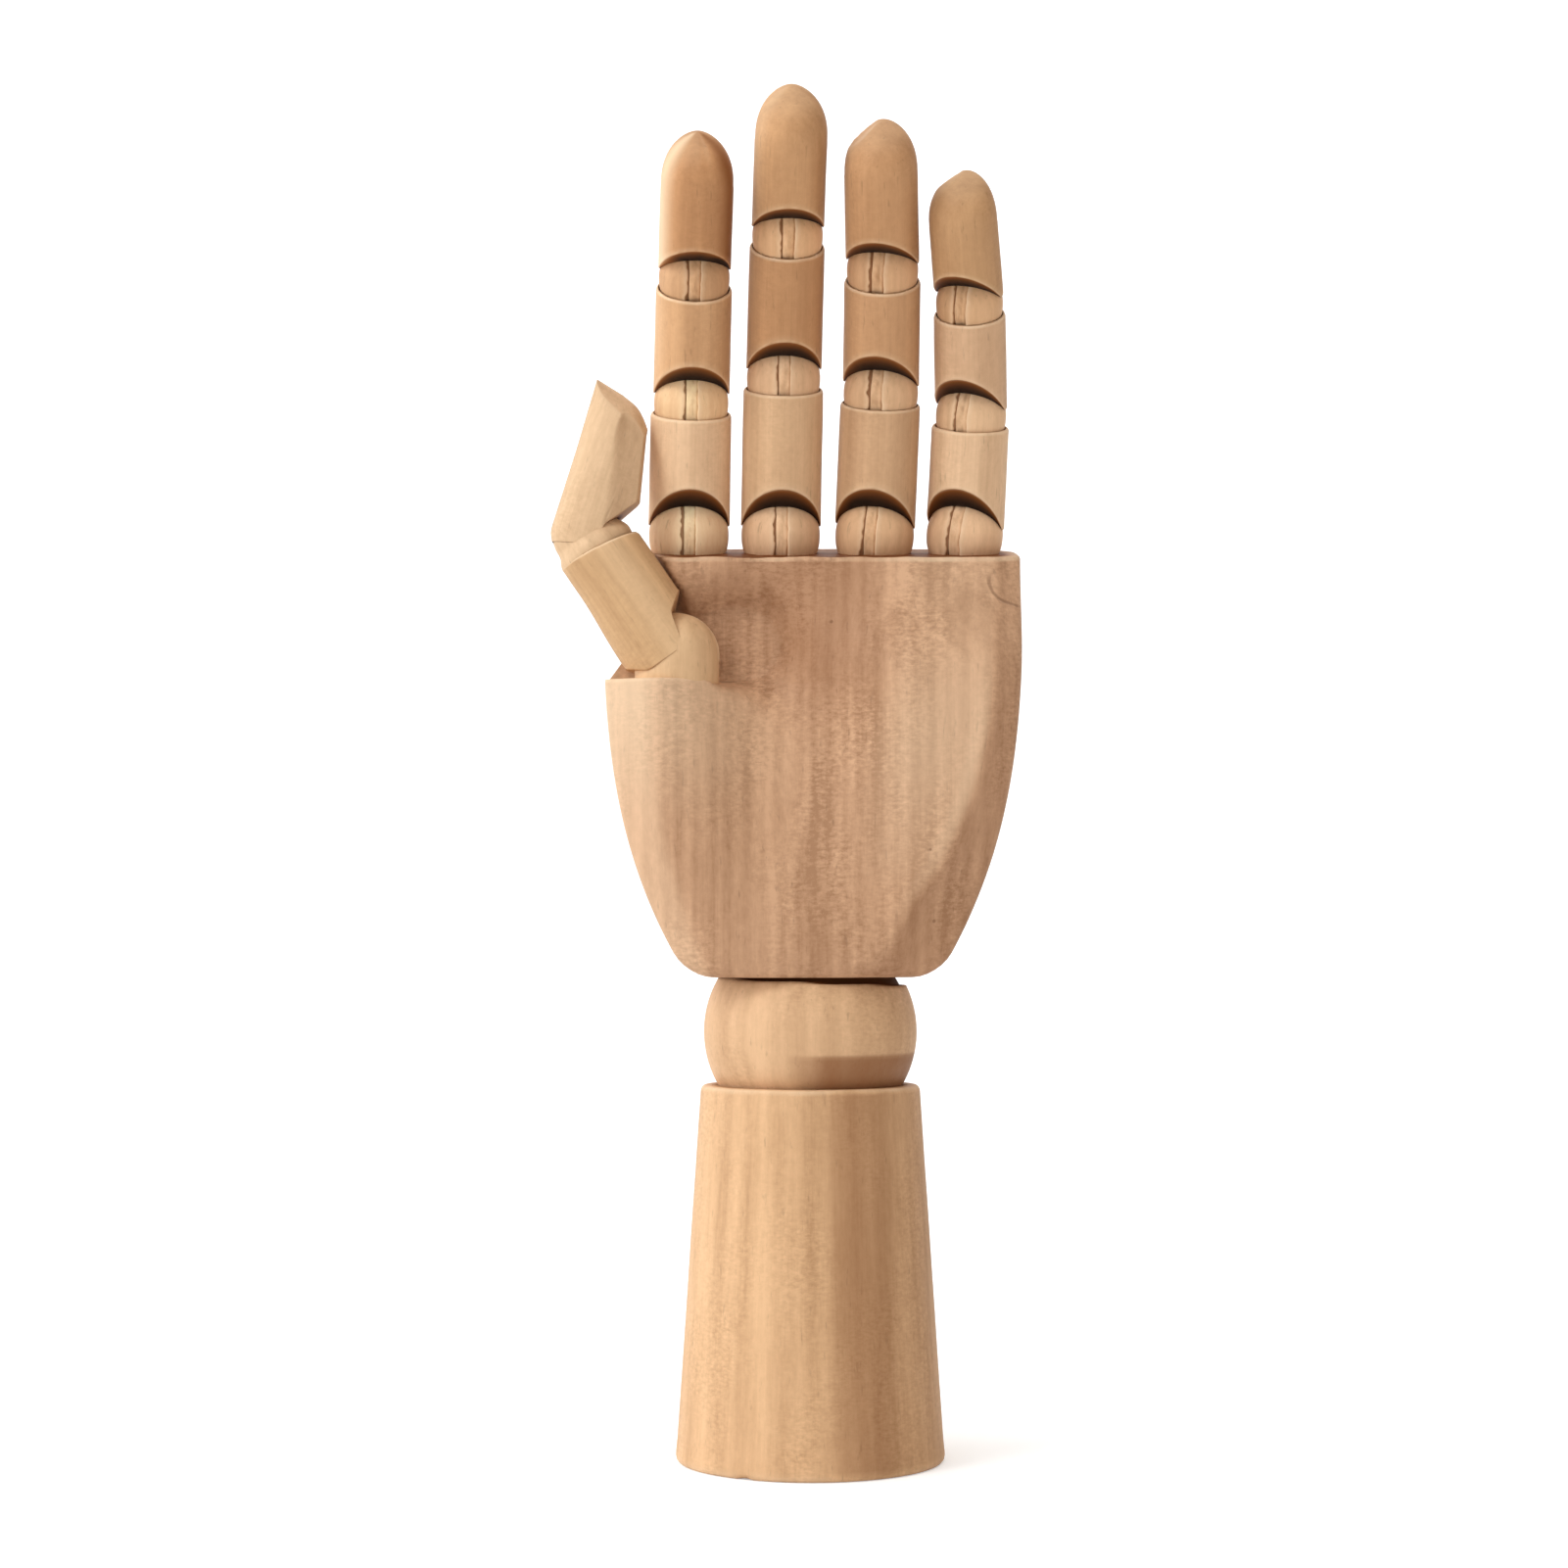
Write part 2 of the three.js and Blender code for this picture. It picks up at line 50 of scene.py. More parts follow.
LEFT, LEFT_TOP, RIGHT = -36.4, -29.5, 37.1
HEEL, MOUND, FRONT_TOP, BACK_TOP = 18.54, 18.8, 11.0, 11.5
TAPER, TAPER_POWER = 15, 3.2

# Seat of the ball in the piece below, end of the cup, slope of its cut, ball inset, offset behind
Hinge = namedtuple("Hinge", "seat cup bevel inset back")
ROOT_HINGE = Hinge(3.3, 1.3, 50, 0.14, 0.0)
FINGER_HINGE = Hinge(2.0, 1.3, 51, 0.16, 0.0)
THUMB_ROOT_HINGE = Hinge(4.5, 0.0, 0, 0.08, 0.75)
THUMB_HINGE = Hinge(3.5, 2.0, 52, 0.0, 0.0)

# Place across the palm, lean, turn, diameters and lengths from the root to the tip
Finger = namedtuple("Finger", "x lean turn diameters lengths")
FINGERS = {
    "index": Finger(-21.7, 0.5, 3.3, (14.5, 13.4, 12.5), (23.8, 23.2, 25.5)),
    "middle": Finger(-5.3, 0.3, 2.3, (14.3, 13.2, 12.4), (28.1, 26.2, 26.0)),
    "ring": Finger(11.5, 4.9, -8.0, (14.3, 13.4, 12.6), (25.5, 22.7, 26.1)),
    "little": Finger(27.6, 8.4, -18.0, (13.9, 12.7, 11.9), (21.4, 20.8, 23.0)),
}
FINGER_BENDS = (9.7, 13, 11)
ROOT_Z = PALM_TOP + ROOT_HINGE.seat / cos(radians(PALM_SLOPE))
TIP_DOME, TIP_FULL, TIP_DRAW = 7.4, 2.5, 0.75
THUMB_AT = Vector((-23.5, -10.0, 142.9))
THUMB_LEAN, THUMB_BENDS = 34.5, (0, 52)
THUMB_DIAMETERS, THUMB_LENGTHS = (15, 12.1), (26.3, 26.6)
THUMB_FLARE, THUMB_SWELL, THUMB_BACK = 1.0, 0.65, 1.15


# Numbers
def smooth(t):
    """From 0 to 1, with a soft start and end."""
    t = min(1.0, max(0.0, t))
    return t * t * (3 - 2 * t)


def mix(a, b, t):
    return a + (b - a) * t


def spread(a, b, count):
    """Even steps from a up to, but not with, b."""
    return [mix(a, b, i / count) for i in range(count)]


def bell(t):
    """A rounded hump: 1 at zero, and 0 from 1 on."""
    return 0.5 * (1 + cos(pi * min(1.0, abs(t))))


def ramp(t, soft=0.45):
    """Zero below zero, then rising evenly, with a rounded bend."""
    return 0.5 * (t + sqrt(t * t + soft * soft))


def along(table, z):
    """Value at a height from a table, in straight lines between its rows."""
    if z <= table[0][0]:
        return table[0][1]
    for (z0, v0), (z1, v1) in zip(table, table[1:]):
        if z <= z1:
            return mix(v0, v1, (z - z0) / (z1 - z0))
    return table[-1][1]


def wobble(seed, *place):
    """Smooth unevenness between about -1 and 1."""
    x, y, z = (list(place) + [0, 0])[:3]
    return noise.noise(Vector((x + 17.3 * seed, y - 5.1 * seed, z + 9.7 * seed)))


def around(i, sides):
    """Angle of a side about Z and its place on the unit circle; side 0 faces the palm side, -Y."""
    a = 2 * pi * i / sides
    return a, sin(a), -cos(a)


def rotation(axis, angle):
    return Matrix.Rotation(radians(angle), 4, axis)


def shift(x, y, z):
    return Matrix.Translation((x * MM, y * MM, z * MM))


# Meshes and pieces
def skin(name, rings, first=None, last=None):
    """A smooth skin over rings of points in millimetres, with a point at each end where given.

    The fourth value of a point is its tone: above zero the wood is paler, from wear and from painted
    highlight; below zero darker, from stains and from painted shade.
    """
    sides = len(rings[0])
    points = [p for ring in rings for p in ring]
    pairs = [(i, (i + 1) % sides) for i in range(sides)]
    faces = []
    for k in range(0, len(points) - sides, sides):
        faces += [(k + i, k + j, k + sides + j, k + sides + i) for i, j in pairs]
    for end, base in ((first, 0), (last, len(points) - sides)):
        if end is not None:
            tip = len(points)
            points.append((*end, points[base][3]))
            faces += [(tip, base + i, base + j) if base else (tip, j, i) for i, j in pairs]
    mesh = bpy.data.meshes.new(name)
    mesh.from_pydata([(x * MM, y * MM, z * MM) for x, y, z, _ in points], [], faces)
    mesh.attributes.new("tone", "FLOAT", "POINT").data.foreach_set("value", [p[3] for p in points])
    clean(mesh)
    return mesh


def clean(mesh):
    """Joins points that fall together, turns all faces outwards and shades them smooth."""
    work = bmesh.new()
    work.from_mesh(mesh)
    bmesh.ops.remove_doubles(work, verts=work.verts, dist=0.002 * MM)
    bmesh.ops.dissolve_degenerate(work, edges=work.edges, dist=0.002 * MM)
    bmesh.ops.recalc_face_normals(work, faces=work.faces)
    work.to_mesh(mesh)
    work.free()
    mesh.polygons.foreach_set("use_smooth", [True] * len(mesh.polygons))
    mesh.update()


def placed(name, data):
    """A new object in the scene."""
    obj = bpy.data.objects.new(name, data)
    bpy.context.scene.collection.objects.link(obj)
    return obj


def piece(name, mesh, body, node, material, place=None):
    """A piece that stands for a node and moves with a body."""
    obj = placed(name, mesh)
    if place is not None:
        obj.matrix_world = place
    mesh.materials.append(material)
    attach(obj, body)
    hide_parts(node)


# Materials
class Graph:
    """Short calls for the nodes of a material or of the world."""

    def __init__(self, owner):
        owner.use_nodes = True
        self.nodes = owner.node_tree.nodes
        self.links = owner.node_tree.links

    def put(self, value, socket):
        """Links an output to a socket, or sets a plain value on it."""
        if isinstance(value, bpy.types.NodeSocket):
            self.links.new(value, socket)
        else:
            socket.default_value = value

    def fill(self, node, values):
        """Values for the sockets of a node; an underscore in a name stands for a space."""
        for key, value in values.items():
            self.put(value, node.inputs[key.replace("_", " ")])
        return node

    def node(self, kind, **values):
        return self.fill(self.nodes.new(kind), values)

    def surface(self, **values):
        """Values for the material's own shader."""
        self.fill(self.nodes["Principled BSDF"], values)

    def maths(self, operation, a, b=None, clamp=False):
        made = self.nodes.new("ShaderNodeMath")
        made.operation = operation
        made.use_clamp = clamp
        self.put(a, made.inputs[0])
        if b is not None:
            self.put(b, made.inputs[1])
        return made.outputs[0]

    def add(self, *values):
        total = values[0]
        for value in values[1:]:
            total = self.maths("ADD", total, value)
        return total

    def scaled(self, value, weight):
        return self.maths("MULTIPLY", value, weight)

    def swing(self, value, weight):
        """A noise about zero instead of about a half, with a weight."""
        return self.scaled(self.maths("SUBTRACT", value, 0.5), weight)

    def remap(self, value, low, high, to_low=0.0, to_high=1.0, kind="LINEAR"):
        made = self.node("ShaderNodeMapRange", Value=value, From_Min=low, From_Max=high,
                         To_Min=to_low, To_Max=to_high)
        made.interpolation_type = kind
        return made.outputs["Result"]

    def blend(self, factor, a, b):
        made = self.nodes.new("ShaderNodeMix")
        made.data_type = "RGBA"
        return self.fill(made, {"Factor": factor, "A": a, "B": b}).outputs["Result"]

    def bump(self, height, strength, distance):
        made = self.node("ShaderNodeBump", Height=height, Strength=strength, Distance=distance)
        return made.outputs["Normal"]

    def seen(self):
        """One for rays of the camera, of reflections and through glass, else zero."""
        path = self.nodes.new("ShaderNodeLightPath")
        value = path.outputs["Is Camera Ray"]
        for kind in ("Is Glossy Ray", "Is Transmission Ray"):
            value = self.maths("MAXIMUM", value, path.outputs[kind])
        return value


def linear(colour):
    """A colour written from 0 to 255, as the shader takes it."""
    shares = [v / 255 for v in colour]
    return [c / 12.92 if c <= 0.04045 else ((c + 0.055) / 1.055) ** 2.4 for c in shares] + [1.0]


def shades(tint, amount=1.0):
    """Light and dark colour of the grain about a mean colour."""
    light = [min(250, c * (1 + 0.075 * amount)) for c in tint]
    dark = [c * (1 - k * amount) for c, k in zip(tint, (0.10, 0.135, 0.17))]
    return light, dark


# Noises in the wood: scale across and along the grain, detail, roughness
NOISES = {
    "broad": ((70, 70, 7), 2.0, 0.55),
    "streak": ((430, 430, 9), 5.0, 0.68),
    "fibre": ((2100, 2100, 90), 3.0, 0.7),
    "fleck": ((1500, 1500, 260), 2.0, 0.5),
    "cloud": ((120, 120, 70), 3.0, 0.55),
    "mottle": ((820, 820, 520), 5.0, 0.68),
    "hair": ((1150, 1150, 20), 4.0, 0.6),
}
FIGURE_NOISES = {
    "soft": ((210, 210, 5), 1.0, 0.55),
    "weave": ((880, 880, 1800), 4.0, 0.6),
    "where": ((85, 85, 42), 2.0, 0.55),
}
# Colours the tone mixes in: pale for wear and painted highlight, brown for stains and painted shade, near
# black for deep painted shade; and the colour of scars
WORN_AND_LIT, STAINED_AND_SHADED, PAINTED_DEEP_SHADE, SCARRED = (248, 219, 183), (124, 70, 30), (26, 12, 6), (96, 58, 34)
WOOD_SPECULAR = 0.16


class Grain(Graph):
    """Nodes of one blank of wood with its grain along Z; every seed is another blank."""

    def __init__(self, material, seed, turn):
        super().__init__(material)
        self.coords = self.nodes.new("ShaderNodeTexCoord").outputs["Object"]
        self.place = (0.013 * seed, 0.029 * seed, 0.017 * seed)
        self.turned = (0.012, 0.02, turn)
        self.noise = {key: self.noise_at(*values) for key, values in NOISES.items()}

    def mapped(self, scale):
        return self.node("ShaderNodeMapping", Vector=self.coords, Location=self.place,
                         Rotation=self.turned, Scale=scale).outputs[0]

    def noise_at(self, scale, detail, roughness):
        return self.node("ShaderNodeTexNoise", Vector=self.mapped(scale), Scale=1.0, Detail=detail,
                         Roughness=roughness).outputs["Fac"]

    def bands(self, stripe):
        """Year rings as soft bands, a stripe's width in millimetres apart."""
        pitch = 0.31 / (stripe * MM)
        return self.node("ShaderNodeTexWave", Vector=self.mapped((pitch, pitch * 0.6, pitch * 0.035)),
                         Scale=1.0, Distortion=5.0, Detail=3.0, Detail_Scale=1.1,
                         Detail_Roughness=0.62).outputs["Fac"]

    def darkness(self, stripe, contrast, figured):
        """Share of the dark colour; figured wood has cross flecks and soft bands as well."""
        weights = {
            "streak": (1.15 - 0.45 * figured) * contrast, "fibre": 0.34 * contrast, "broad": 1.25,
            "cloud": 0.3, "mottle": 0.62 * contrast, "hair": (0.36 - 0.24 * figured) * contrast,
        }
        terms = [self.swing(self.noise[key], weight) for key, weight in weights.items()]
        terms.append(self.swing(self.bands(stripe), 0.17 * contrast))
        if figured:
            soft, weave, where = [self.noise_at(*values) for values in FIGURE_NOISES.values()]
            cross = self.scaled(self.maths("SUBTRACT", weave, 0.5), self.remap(where, 0.36, 0.64))
            terms.append(self.scaled(cross, 2.4 * figured))
            terms.append(self.swing(soft, 1.1 * figured))
        return self.maths("ADD", self.add(*terms), 0.45, clamp=True)


def toned_by_wear_and_painted_light(graph, colour):
    """The colour, made paler or darker by the tone of the mesh: by wear and stains, and by painted light and
    shade.
    """
    tone = graph.nodes.new("ShaderNodeAttribute")
    tone.attribute_name = "tone"
    for none, full, towards in ((0.0, 1.0, WORN_AND_LIT), (0.0, -0.5, STAINED_AND_SHADED), (-0.5, -1.0, PAINTED_DEEP_SHADE)):
        colour = graph.blend(graph.remap(tone.outputs["Fac"], none, full), colour, linear(towards))
    return colour


def wood(name, colours, stripe, seed, contrast=1.0, turn=0.0, rough=0.55, figured=0.0, marks=None):
    """Sanded wood: bands and fibres along Z, flecks, pores, uneven tone, edges paled by wear, and the
    painted light and shade of the mesh's tone.
    """
    material = bpy.data.materials.new(name)
    grain = Grain(material, seed, turn)
    streak, fibre, cloud = [grain.noise[key] for key in ("streak", "fibre", "cloud")]
    light, dark = colours
    colour = grain.blend(grain.darkness(stripe, contrast, figured), linear(light), linear(dark))
    pore = grain.remap(grain.noise["fleck"], 0.655, 0.76, 0.0, 0.30)
    colour = toned_by_wear_and_painted_light(grain, grain.blend(pore, colour, linear([c * 0.66 for c in dark])))
    height = grain.add(grain.scaled(streak, 0.6), grain.scaled(fibre, 0.5), grain.scaled(pore, -1.2))
    if marks:
        dent = marks(grain)
        colour = grain.blend(grain.scaled(dent, 0.45), colour, linear(SCARRED))
        height = grain.add(height, grain.scaled(dent, -2.5))
    gloss = grain.add(grain.scaled(streak, 0.6), grain.scaled(cloud, 0.4))
    grain.surface(Base_Color=colour, Roughness=grain.remap(gloss, 0.0, 1.0, rough - 0.12, rough + 0.14),
                  Specular_IOR_Level=WOOD_SPECULAR, Normal=grain.bump(height, 0.35, 0.12 * MM))
    return material


# Marks in the palm's front, in millimetres: a curved crack round a corner, and pores with their radii
CRACK_AT, CRACK_SIZE = (35.9, 155.7), (4.6, 3.9)
PORES = ((3.6, 148.6, 0.34), (20.6, 108.6, 0.3), (21.4, 96.2, 0.36))


def palm_marks(graph):
    """How much a place of the palm lies in one of its marks, from 0 to 1."""
    x, y, z = graph.node("ShaderNodeSeparateXYZ", Vector=graph.coords).outputs

    def fade(value, full, none):
        return graph.remap(value, full, none, 1.0, 0.0, "SMOOTHSTEP")

    def reach(at, size):
        """Distance from a place, in radii."""
        squares = []
        for value, middle, half in zip((x, z), at, size):
            share = graph.maths("DIVIDE", graph.maths("SUBTRACT", value, middle * MM), half * MM)
            squares.append(graph.maths("MULTIPLY", share, share))
        return graph.maths("SQRT", graph.add(*squares))

    bent = graph.add(reach(CRACK_AT, CRACK_SIZE), graph.swing(graph.noise["cloud"], 0.7))
    line = fade(graph.maths("ABSOLUTE", graph.maths("SUBTRACT", bent, 1.0)), 0.02, 0.11)
    left = fade(x, (CRACK_AT[0] + 0.2) * MM, (CRACK_AT[0] + 1.2) * MM)
    below = fade(z, (CRACK_AT[1] - 0.5) * MM, (CRACK_AT[1] + 2) * MM)
    total = graph.scaled(line, graph.scaled(left, below))
    for px, pz, radius in PORES:
        total = graph.maths("MAXIMUM", total, fade(reach((px, pz), (radius, radius)), 0.5, 1.1))
    return graph.scaled(total, fade(y, -3 * MM, -1 * MM))


def steel(name):
    """Drawn wire: grey, finely brushed, a little dull."""
    material = bpy.data.materials.new(name)
    graph = Graph(material)
    coords = graph.nodes.new("ShaderNodeTexCoord").outputs["Object"]
    brushed = graph.node("ShaderNodeTexNoise", Vector=coords, Scale=900, Detail=4).outputs["Fac"]
    colour = graph.blend(brushed, linear((176, 174, 168)), linear((120, 116, 108)))
    graph.surface(Metallic=1.0, Base_Color=colour, Roughness=graph.remap(brushed, 0.0, 1.0, 0.25, 0.5),
                  Normal=graph.bump(brushed, 0.15, 0.05 * MM))
    return material


# Forearm
FOREARM_SIDES = 128
NICK_ANGLE, NICK_WIDTH, NICK_DEPTH, NICK_HEIGHT = 5.77, 0.035, 0.5, 1.5


def forearm_profile():
    """Radius, height and tone from the foot over the rim and into the dished seat."""
    foot, head, top = FOREARM_FOOT, FOREARM_HEAD, FOREARM_H
    profile = [(foot - 1.0, 0.0, 0.0), (foot - 0.45, 0.12, 0.1), (foot - 0.12, 0.5, 0.22), (foot, 1.1, 0.1),
               (foot - 0.03, 1.8, 0.0)]
    for z in spread(1.8, top - 1.6, 30)[1:]:
        profile.append((mix(foot, head, z / top), z, 0.0))
    profile += [(head + 0.08, top - 1.1, 0.0), (head + 0.02, top - 0.75, 0.12),
                (head - 0.2, top - 0.3, 0.34), (head - 0.55, top - 0.06, 0.26), (head - 1.1, top, 0.0)]
    lip = asin((WRIST_Z - top) / SEAT_R)
    end = acos(BORE_R / SEAT_R)
    # The dished seat and the bore below it are darkened: painted shade under the ball
    for k in range(12):
        a = mix(lip, end, k / 11)
        profile.append((SEAT_R * cos(a), WRIST_Z - SEAT_R * sin(a), -0.12))
    profile.append((BORE_R, BORE_FLOOR, -0.3))
    return profile


def forearm_shade_and_streak(x, y, z):
    """Painted shade over the right of the front, with a darker grain streak down it, at a place on the unit
    circle.
    """
    if y >= 0 or not 0.3 < z < FOREARM_H - 0.2:
        return 0.0
    broad = 0.13 * smooth((x - 0.06) / 0.14) * (1 - 0.5 * smooth((x - 0.55) / 0.3))
    return broad + (0.12 + 0.06 * wobble(21, 11 * x, z / 60)) * bell((x - 0.42) / 0.32)


def forearm_mesh():
    """Turned, with a dished top, eased edges and a nick in the foot."""
    rings = []
    for radius, z, tone in forearm_profile():
        ring = []
        for i in range(FOREARM_SIDES):
            a, x, y = around(i, FOREARM_SIDES)
            nick = exp(-((a - NICK_ANGLE) / NICK_WIDTH) ** 2) * smooth(1 - z / NICK_HEIGHT)
            uneven = 0.05 * wobble(3, 2.2 * x, 2.2 * y, z / 14) if z > 0.3 else 0.0
            chip = 0.12 * wobble(9, 7 * x, 7 * y, z) if tone > 0.1 else 0.0
            dark = 0.5 * nick + forearm_shade_and_streak(x, y, z)
            r = radius + uneven - NICK_DEPTH * nick
            ring.append((r * x, r * y, z + 0.25 * nick, tone + chip - dark))
        rings.append(ring)
    return skin("forearm_wood", rings, (0, 0, 0), (0, 0, BORE_FLOOR))


# Wrist ball, with the height, slant, far side and depth of its step
BALL_SIDES, BALL_STEPS = 96, 90
STEP_Z, STEP_SLANT, STEP_FROM, STEP_IN = 9.75, 0.04, 16, 0.055
# Painted shade: height of the darker band low on the ball's right, and its strength
BAND_Z, BAND_SHADE = -3.3, 0.36


def wrist_ball_mesh():
    """A turned ball with a slanted step under the palm, darkened there by painted shade, and a band of
    painted shade low on its right.
    """
    rings = []
    end = acos(BORE_R / WRIST_R)
    for k in range(BALL_STEPS + 1):
        a = mix(-end, end, k / BALL_STEPS)
        z, r = WRIST_R * sin(a), WRIST_R * cos(a)
        band = BAND_SHADE * smooth((BAND_Z - z) / 0.9)
        ring = []
        for i in range(BALL_SIDES):
            _, x, y = around(i, BALL_SIDES)
            past = z - STEP_Z + STEP_SLANT * (r * x + STEP_FROM)
            step = smooth(past / 0.3)
            size = 1 - STEP_IN * step
            # Painted shade low on the right, and dark painted shade in the step just under the palm's edge
            tone = -band * smooth((x + 0.3) / 0.5) - 0.8 * step * smooth((3.5 - past) / 2)
            ring.append((r * x * size, r * y * size, z * size, tone))
        rings.append(ring)
    # The first ring again closes the wall of the bore
    return skin("wrist_ball_wood", rings + rings[:1])


# Palm, by height: width of the side facets, slope of the right one, middle and depth of the hollow
PALM_SIDES = 220
LEFT_FACET = ((86, 4.0), (103, 6.6), (138.4, 8.2), (162, 6.0))
RIGHT_FACET = ((86, 13.0), (99, 11.5), (106.6, 8.8), (118.5, 6.6), (131, 5.5), (162, 5.0))
RIGHT_SLOPE = ((86, 0.35), (94, 0.5), (106, 0.72), (120, 0.85), (162, 0.9))
HOLLOW_AT = ((86, 1.0), (100, 0.0), (118, -3.5), (140, -6.5), (162, -8.0))
HOLLOW_DEEP = ((92, 0.0), (96, 0.4), (101, 1.6), (110, 4.3), (120, 6.6), (132, 8.4), (138, 9.0), (144, 8.2),
               (150, 5.4), (155, 2.7), (160, 0.6), (162, 0.2))
HOLLOW_LEFT, HOLLOW_RIGHT = 20.5, 27
LEFT_SLOPE = 0.62
BACK_POWER = 0.625
HEEL_ROUND, HEEL_FRONT_ROUND = 4.2, 1.2
SCOOP_DEPTH, SCOOP_FLOOR = 13.0, -4.5
LEDGE_EASE, RIM_HEIGHT = 0.75, 0.65
LID_X = 4


def palm_taper(z):
    """How far each side lies inside the palm's widest place."""
    up = min(1.0, (z - PALM_Z) / PALM_H)
    return TAPER * (1 - up) ** TAPER_POWER


def palm_front(x, z, low, high, front):
    """Depth of the carved front at a place, without the thumb's scoop."""
    at = along(HOLLOW_AT, z)
    deep = along(HOLLOW_DEEP, z) * bell((x - at) / (HOLLOW_LEFT if x < at else HOLLOW_RIGHT))
    left, right = low + along(LEFT_FACET, z), high - along(RIGHT_FACET, z)
    return -front + deep + LEFT_SLOPE * ramp(left - x, 2.2) + along(RIGHT_SLOPE, z) * ramp(x - right, 0.2)


def palm_outline(z, corner, edge):
    """Points round the palm at a height; corner and edge pull its sides and front in."""
    up = min(1.0, (z - PALM_Z) / PALM_H)
    past = max(0.0, (z - LEDGE) / (PALM_TOP - LEDGE))
    narrow = palm_taper(z) + corner
    high = RIGHT - narrow
    low = LEFT + narrow + min(LEFT_TOP - LEFT, 0.75 * max(0.0, z - LEDGE))
    heel = HEEL - edge
    front = mix(mix(heel, MOUND, smooth(2 * up)), FRONT_TOP, smooth(past))
    back = mix(heel, BACK_TOP, smooth(up))
    centre, half = (high + low) / 2, (high - low) / 2

    def carved(x):
        return min(-1.0, palm_front(x, z, low, high, front))

    points = [(x, carved(x)) for x in spread(centre, high, 400)]
    points += [(high, y) for y in spread(points[-1][1], 0, 40)]
    for a in spread(0, pi, 600):
        c, s = cos(a), sin(a)
        points.append((centre + half * copysign(abs(c) ** BACK_POWER, c), back * s ** BACK_POWER))
    points += [(low, y) for y in spread(0, carved(low), 40)]
    points += [(x, carved(x)) for x in spread(low, centre, 400)]
    return points


def evenly(points, count):
    """As many points at even distances along a closed line."""
    lengths = [0.0]
    for p, q in zip(points, points[1:] + points[:1]):
        lengths.append(lengths[-1] + hypot(q[0] - p[0], q[1] - p[1]))
    chosen, k = [], 0
    for i in range(count):
        target = lengths[-1] * i / count
        while lengths[k + 1] < target:
            k += 1
        t = (target - lengths[k]) / max(1e-9, lengths[k + 1] - lengths[k])
        p, q = points[k], points[(k + 1) % len(points)]
        chosen.append((mix(p[0], q[0], t), mix(p[1], q[1], t)))
    return chosen


def eased(points):
    """The same closed line with softer corners."""
    soft = []
    for i, at in enumerate(points):
        before, after = points[i - 1], points[(i + 1) % len(points)]
        soft.append(tuple((before[c] + 2 * at[c] + after[c]) / 4 for c in (0, 1)))
    return soft


def thumb_room(x, z):
    """How far back the palm has to stay clear of the thumb at a place above the ledge."""
    dx, dz = x - THUMB_AT.x, z - THUMB_AT.z
    ball = (7.7 + 0.8 * smooth((2 - dx) / 4)) ** 2 - dx ** 2 - dz ** 2
    least = THUMB_AT.y + sqrt(ball) if ball > 0 else -inf
    for more in (0.0, 4.5, 9.0):
        a = radians(THUMB_LEAN + more)
        up = -dx * sin(a) + dz * cos(a)
        across = dx * cos(a) + dz * sin(a) + 1.0
        reach = 8.2 + 0.06 * max(0.0, up)
        if up > 0.6 and abs(across) < reach:
            least = max(least, THUMB_AT.y + sqrt(reach ** 2 - across ** 2))
    return least


def scoop(x, z, above):
    """What the thumb's scoop takes off the front: a step at the ledge, soft to its right."""
    share = smooth((3.0 - x) / 19.5)
    if share <= 0:
        return 0.0
    soft = mix(0.0, 2.6, smooth((x + 19.0) / 4.5)) + 6.0 * smooth((x + 15.0) / 12)
    if soft < 0.05:
        step = 1.0 if above else 0.0
    else:
        step = smooth((z - LEDGE + soft) / (2 * soft))
    return SCOOP_DEPTH * share * step * (1 - smooth((z - LEDGE - 5) / 17))


def palm_light_and_shade(x, z):
    """Painted light and shade on the palm's front: paler on the faces towards the lamps and along the
    crease, darker in the middle of the hollow and past the crease.
    """
    facet = LEFT + palm_taper(z) + along(LEFT_FACET, z)
    crease = RIGHT - palm_taper(z) - along(RIGHT_FACET, z)
    inside = smooth((crease + 1 - x) / 2)
    tone = 0.16 * smooth((facet + 1.5 - x) / 3.5)
    tone -= 0.21 * bell((x + 1) / 27) * smooth((z - 124) / 20)
    tone -= 0.045 * bell((x + 1) / 26) * smooth((106 - z) / 10)
    tone += 0.30 * smooth((1 - x) / 22) * smooth((z - 108) / 30) * smooth(1 - (z - LEDGE) / 5)
    tone += 0.10 * smooth((x - 6) / 10) * smooth((z - 96) / 14) * inside
    tone += 0.12 * smooth((x - 10) / 8) * bell((z - 128) / 22) * inside
    tone += 0.10 * bell((x - crease + 1.6) / 2.4) * bell((z - 116) / 30)
    tone -= 0.09 * smooth((x - crease) / 1.5) * smooth((150 - z) / 20)
    return tone


def palm_levels():
    """Height of each ring, pull of its corners and front edge, and if it is above the ledge."""
    levels = []
    for k in range(7):
        a = radians(-90 + 15 * k)
        inwards = 1 - cos(a)
        levels.append((PALM_Z + HEEL_ROUND * (1 + sin(a)), HEEL_ROUND * inwards,
                       HEEL_FRONT_ROUND * inwards, False))
    z = PALM_Z + HEEL_ROUND
    while z + 1.6 < LEDGE - 1.8:
        z += 1.1
        levels.append((z, 0, 0, False))
    levels += [(LEDGE - d, 0, 0, False) for d in (1.7, 1.2, LEDGE_EASE, 0.5, 0.3, 0.12, 0.0)]
    levels += [(LEDGE + d, 0, 0, True) for d in (0.01, 0.25, 0.6, 1.0, 1.5)]
    z = LEDGE + 1.5
    while z + 1.2 < PALM_TOP - 0.6:
        z += 1.0
        levels.append((z, 0, 0, True))
    levels += [(PALM_TOP - d, inwards, inwards, True) for d, inwards in ((0.6, 0), (0.2, 0.15), (0.0, 0.55))]
    return levels


